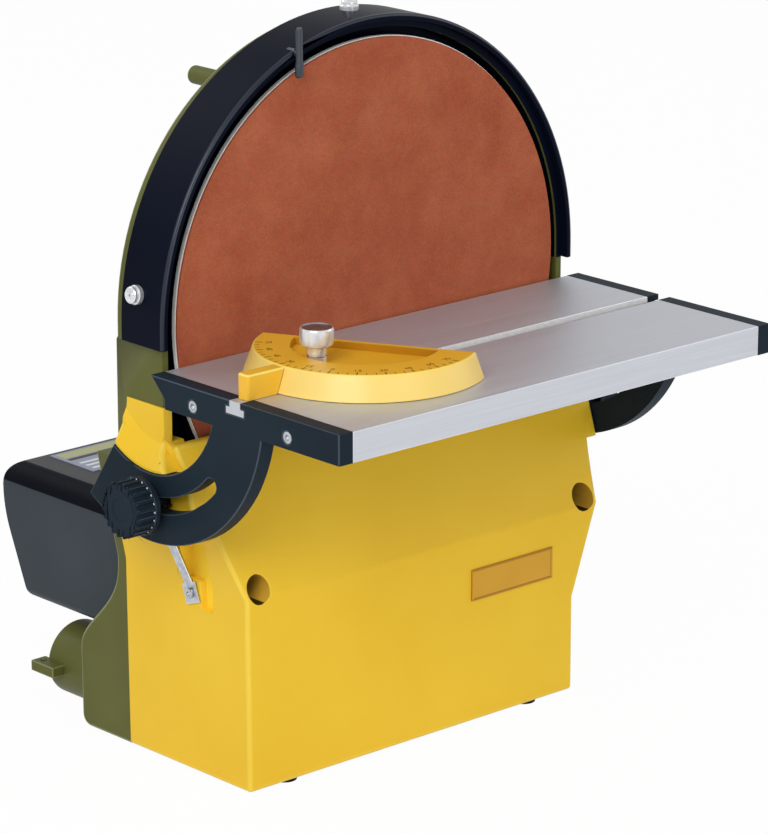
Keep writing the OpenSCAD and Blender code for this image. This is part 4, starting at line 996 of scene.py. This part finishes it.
def slab(name, x, y, z, w, l, finish):
    bpy.ops.object.select_all(action="DESELECT")
    bpy.ops.mesh.primitive_plane_add(size=1)
    piece = bpy.context.object
    editing(piece)
    bpy.ops.transform.resize(value=(w * MM, l * MM, 1))
    bpy.ops.mesh.extrude_region_move(TRANSFORM_OT_translate={"value": (0, 0, 0.04 * MM)})
    bpy.ops.mesh.select_all(action="SELECT")
    bpy.ops.mesh.normals_make_consistent(inside=False)
    done()
    piece.data.transform(Matrix.Translation(place(x, y, z)))
    piece.name = name
    wear(piece, finish)
    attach(piece, "base")
    return piece


mid = (rating_low.x + rating_high.x) / 2
slab("rating_header", mid, rating_high.y - 6.0, rating_high.z, 46, 8, label_lime)
slab("rating_band", mid, rating_high.y - 13.0, rating_high.z, 46, 3.2, label_dark)
BARS = 3
for row in range(BARS):
    bar_y = rating_low.y + 4.5 + 5.2 * row
    slab("rating_bar_%d" % row, mid - 4 * row, bar_y, rating_high.z, 44 - 8 * row, 2.2, white_ink_and_glints)
print("rating plate bars:", BARS + 2)

# %% [markdown]
# ## Switch and dial
# On the set-back wall at the right: a rocker with its two marks and a dial with a line and a ring of ticks.
# The solids are right, so they only get rounded edges. The marks are thin meshes that ride on the piece they
# are printed on; the ring of ticks stays on the wall while the dial turns past it.

# %% Switch and dial
# the rounded edges take the paler nylon, a painted highlight
for node, width in (("switch_bezel", 0.7), ("switch_rocker", 0.8), ("speed_dial", 0.4)):
    piece = copied(node, nylon, nylon_edge_highlight)
    soften(piece, everywhere, width, 2)
    stand_in(piece, node)
DIAL = (102.0, -14.0, -200.5)
to_right = Matrix.Rotation(math.radians(90), 4, "Y")
ring = ticks("dial_ticks", Matrix.Translation(place(DIAL[0] + 0.03, DIAL[1], DIAL[2])) @ to_right,
             turn_z(45), 270, 11, 13.6, 16.0, 0.6)
wear(ring, dark_ink)
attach(ring, "base")
line = ticks("dial_line", Matrix.Translation(place(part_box("speed_dial")[1].x / MM + 0.02, DIAL[1], DIAL[2]))
             @ to_right, turn_z(180), 0, 1, 4.0, 11.0, 0.8)
wear(line, white_ink_and_glints)
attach(line, "dial")
print("dial marked")

# %% Marks on the rocker
ROCKER = (102.0, 22.0, -200.5)
ROCKER_TURN = -10.0
ROCKER_PIVOT = -1.75
ROCKER_FACE = 4.02
pivot = Matrix.Translation(place(ROCKER[0] + ROCKER_PIVOT, ROCKER[1], ROCKER[2]))
tipped = pivot @ Matrix.Rotation(math.radians(ROCKER_TURN), 4, "Y")
facing_right = Matrix(((0, 0, 1, 0), (1, 0, 0, 0), (0, 1, 0, 0), (0, 0, 0, 1)))
signs = []
for sign, height in (("I", 4.0), ("O", -4.0)):
    spot = Matrix.Translation(Vector((ROCKER_FACE - ROCKER_PIVOT, 0, height)) * MM)
    signs.append(figure(sign, 5.0, tipped @ spot @ facing_right))
signs = wear(joined(signs, "rocker_marks"), white_ink_and_glints)
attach(signs, "rocker")
print("rocker marks:", len(signs.data.polygons), "faces")

# %% [markdown]
# ## The rest of the solids
# Shafts, feet and the parts inside keep their CAD shapes and get their finishes.

# %% Finishes for the rest
PLAIN = {
    turned_alu: ["driven_pulley", "motor_pulley"],
    # the bearing plate is painted black as shade: it sits in the dark behind the disc
    guard_black_and_shade: ["bearing_plate"],
    steel: ["spindle", "front_bearing", "rear_bearing", "disc_screws", "plate_screws",
            "motor_screws", "foot_screws", "mitre_pivot", "base_plate", "motor", "motor_shaft",
            "speed_control"],
    brass: ["clamp_inserts"],
    rubber: ["feet", "toothed_belt"],
    board_green: ["control_board"],
    ground: ["mitre_bar"],
    nylon: ["cooling_fan", "board_posts"],
}
for finish, nodes in PLAIN.items():
    for node in nodes:
        wear(frame["nodes"][node], finish)
print("plain nodes finished:", sum(len(nodes) for nodes in PLAIN.values()))
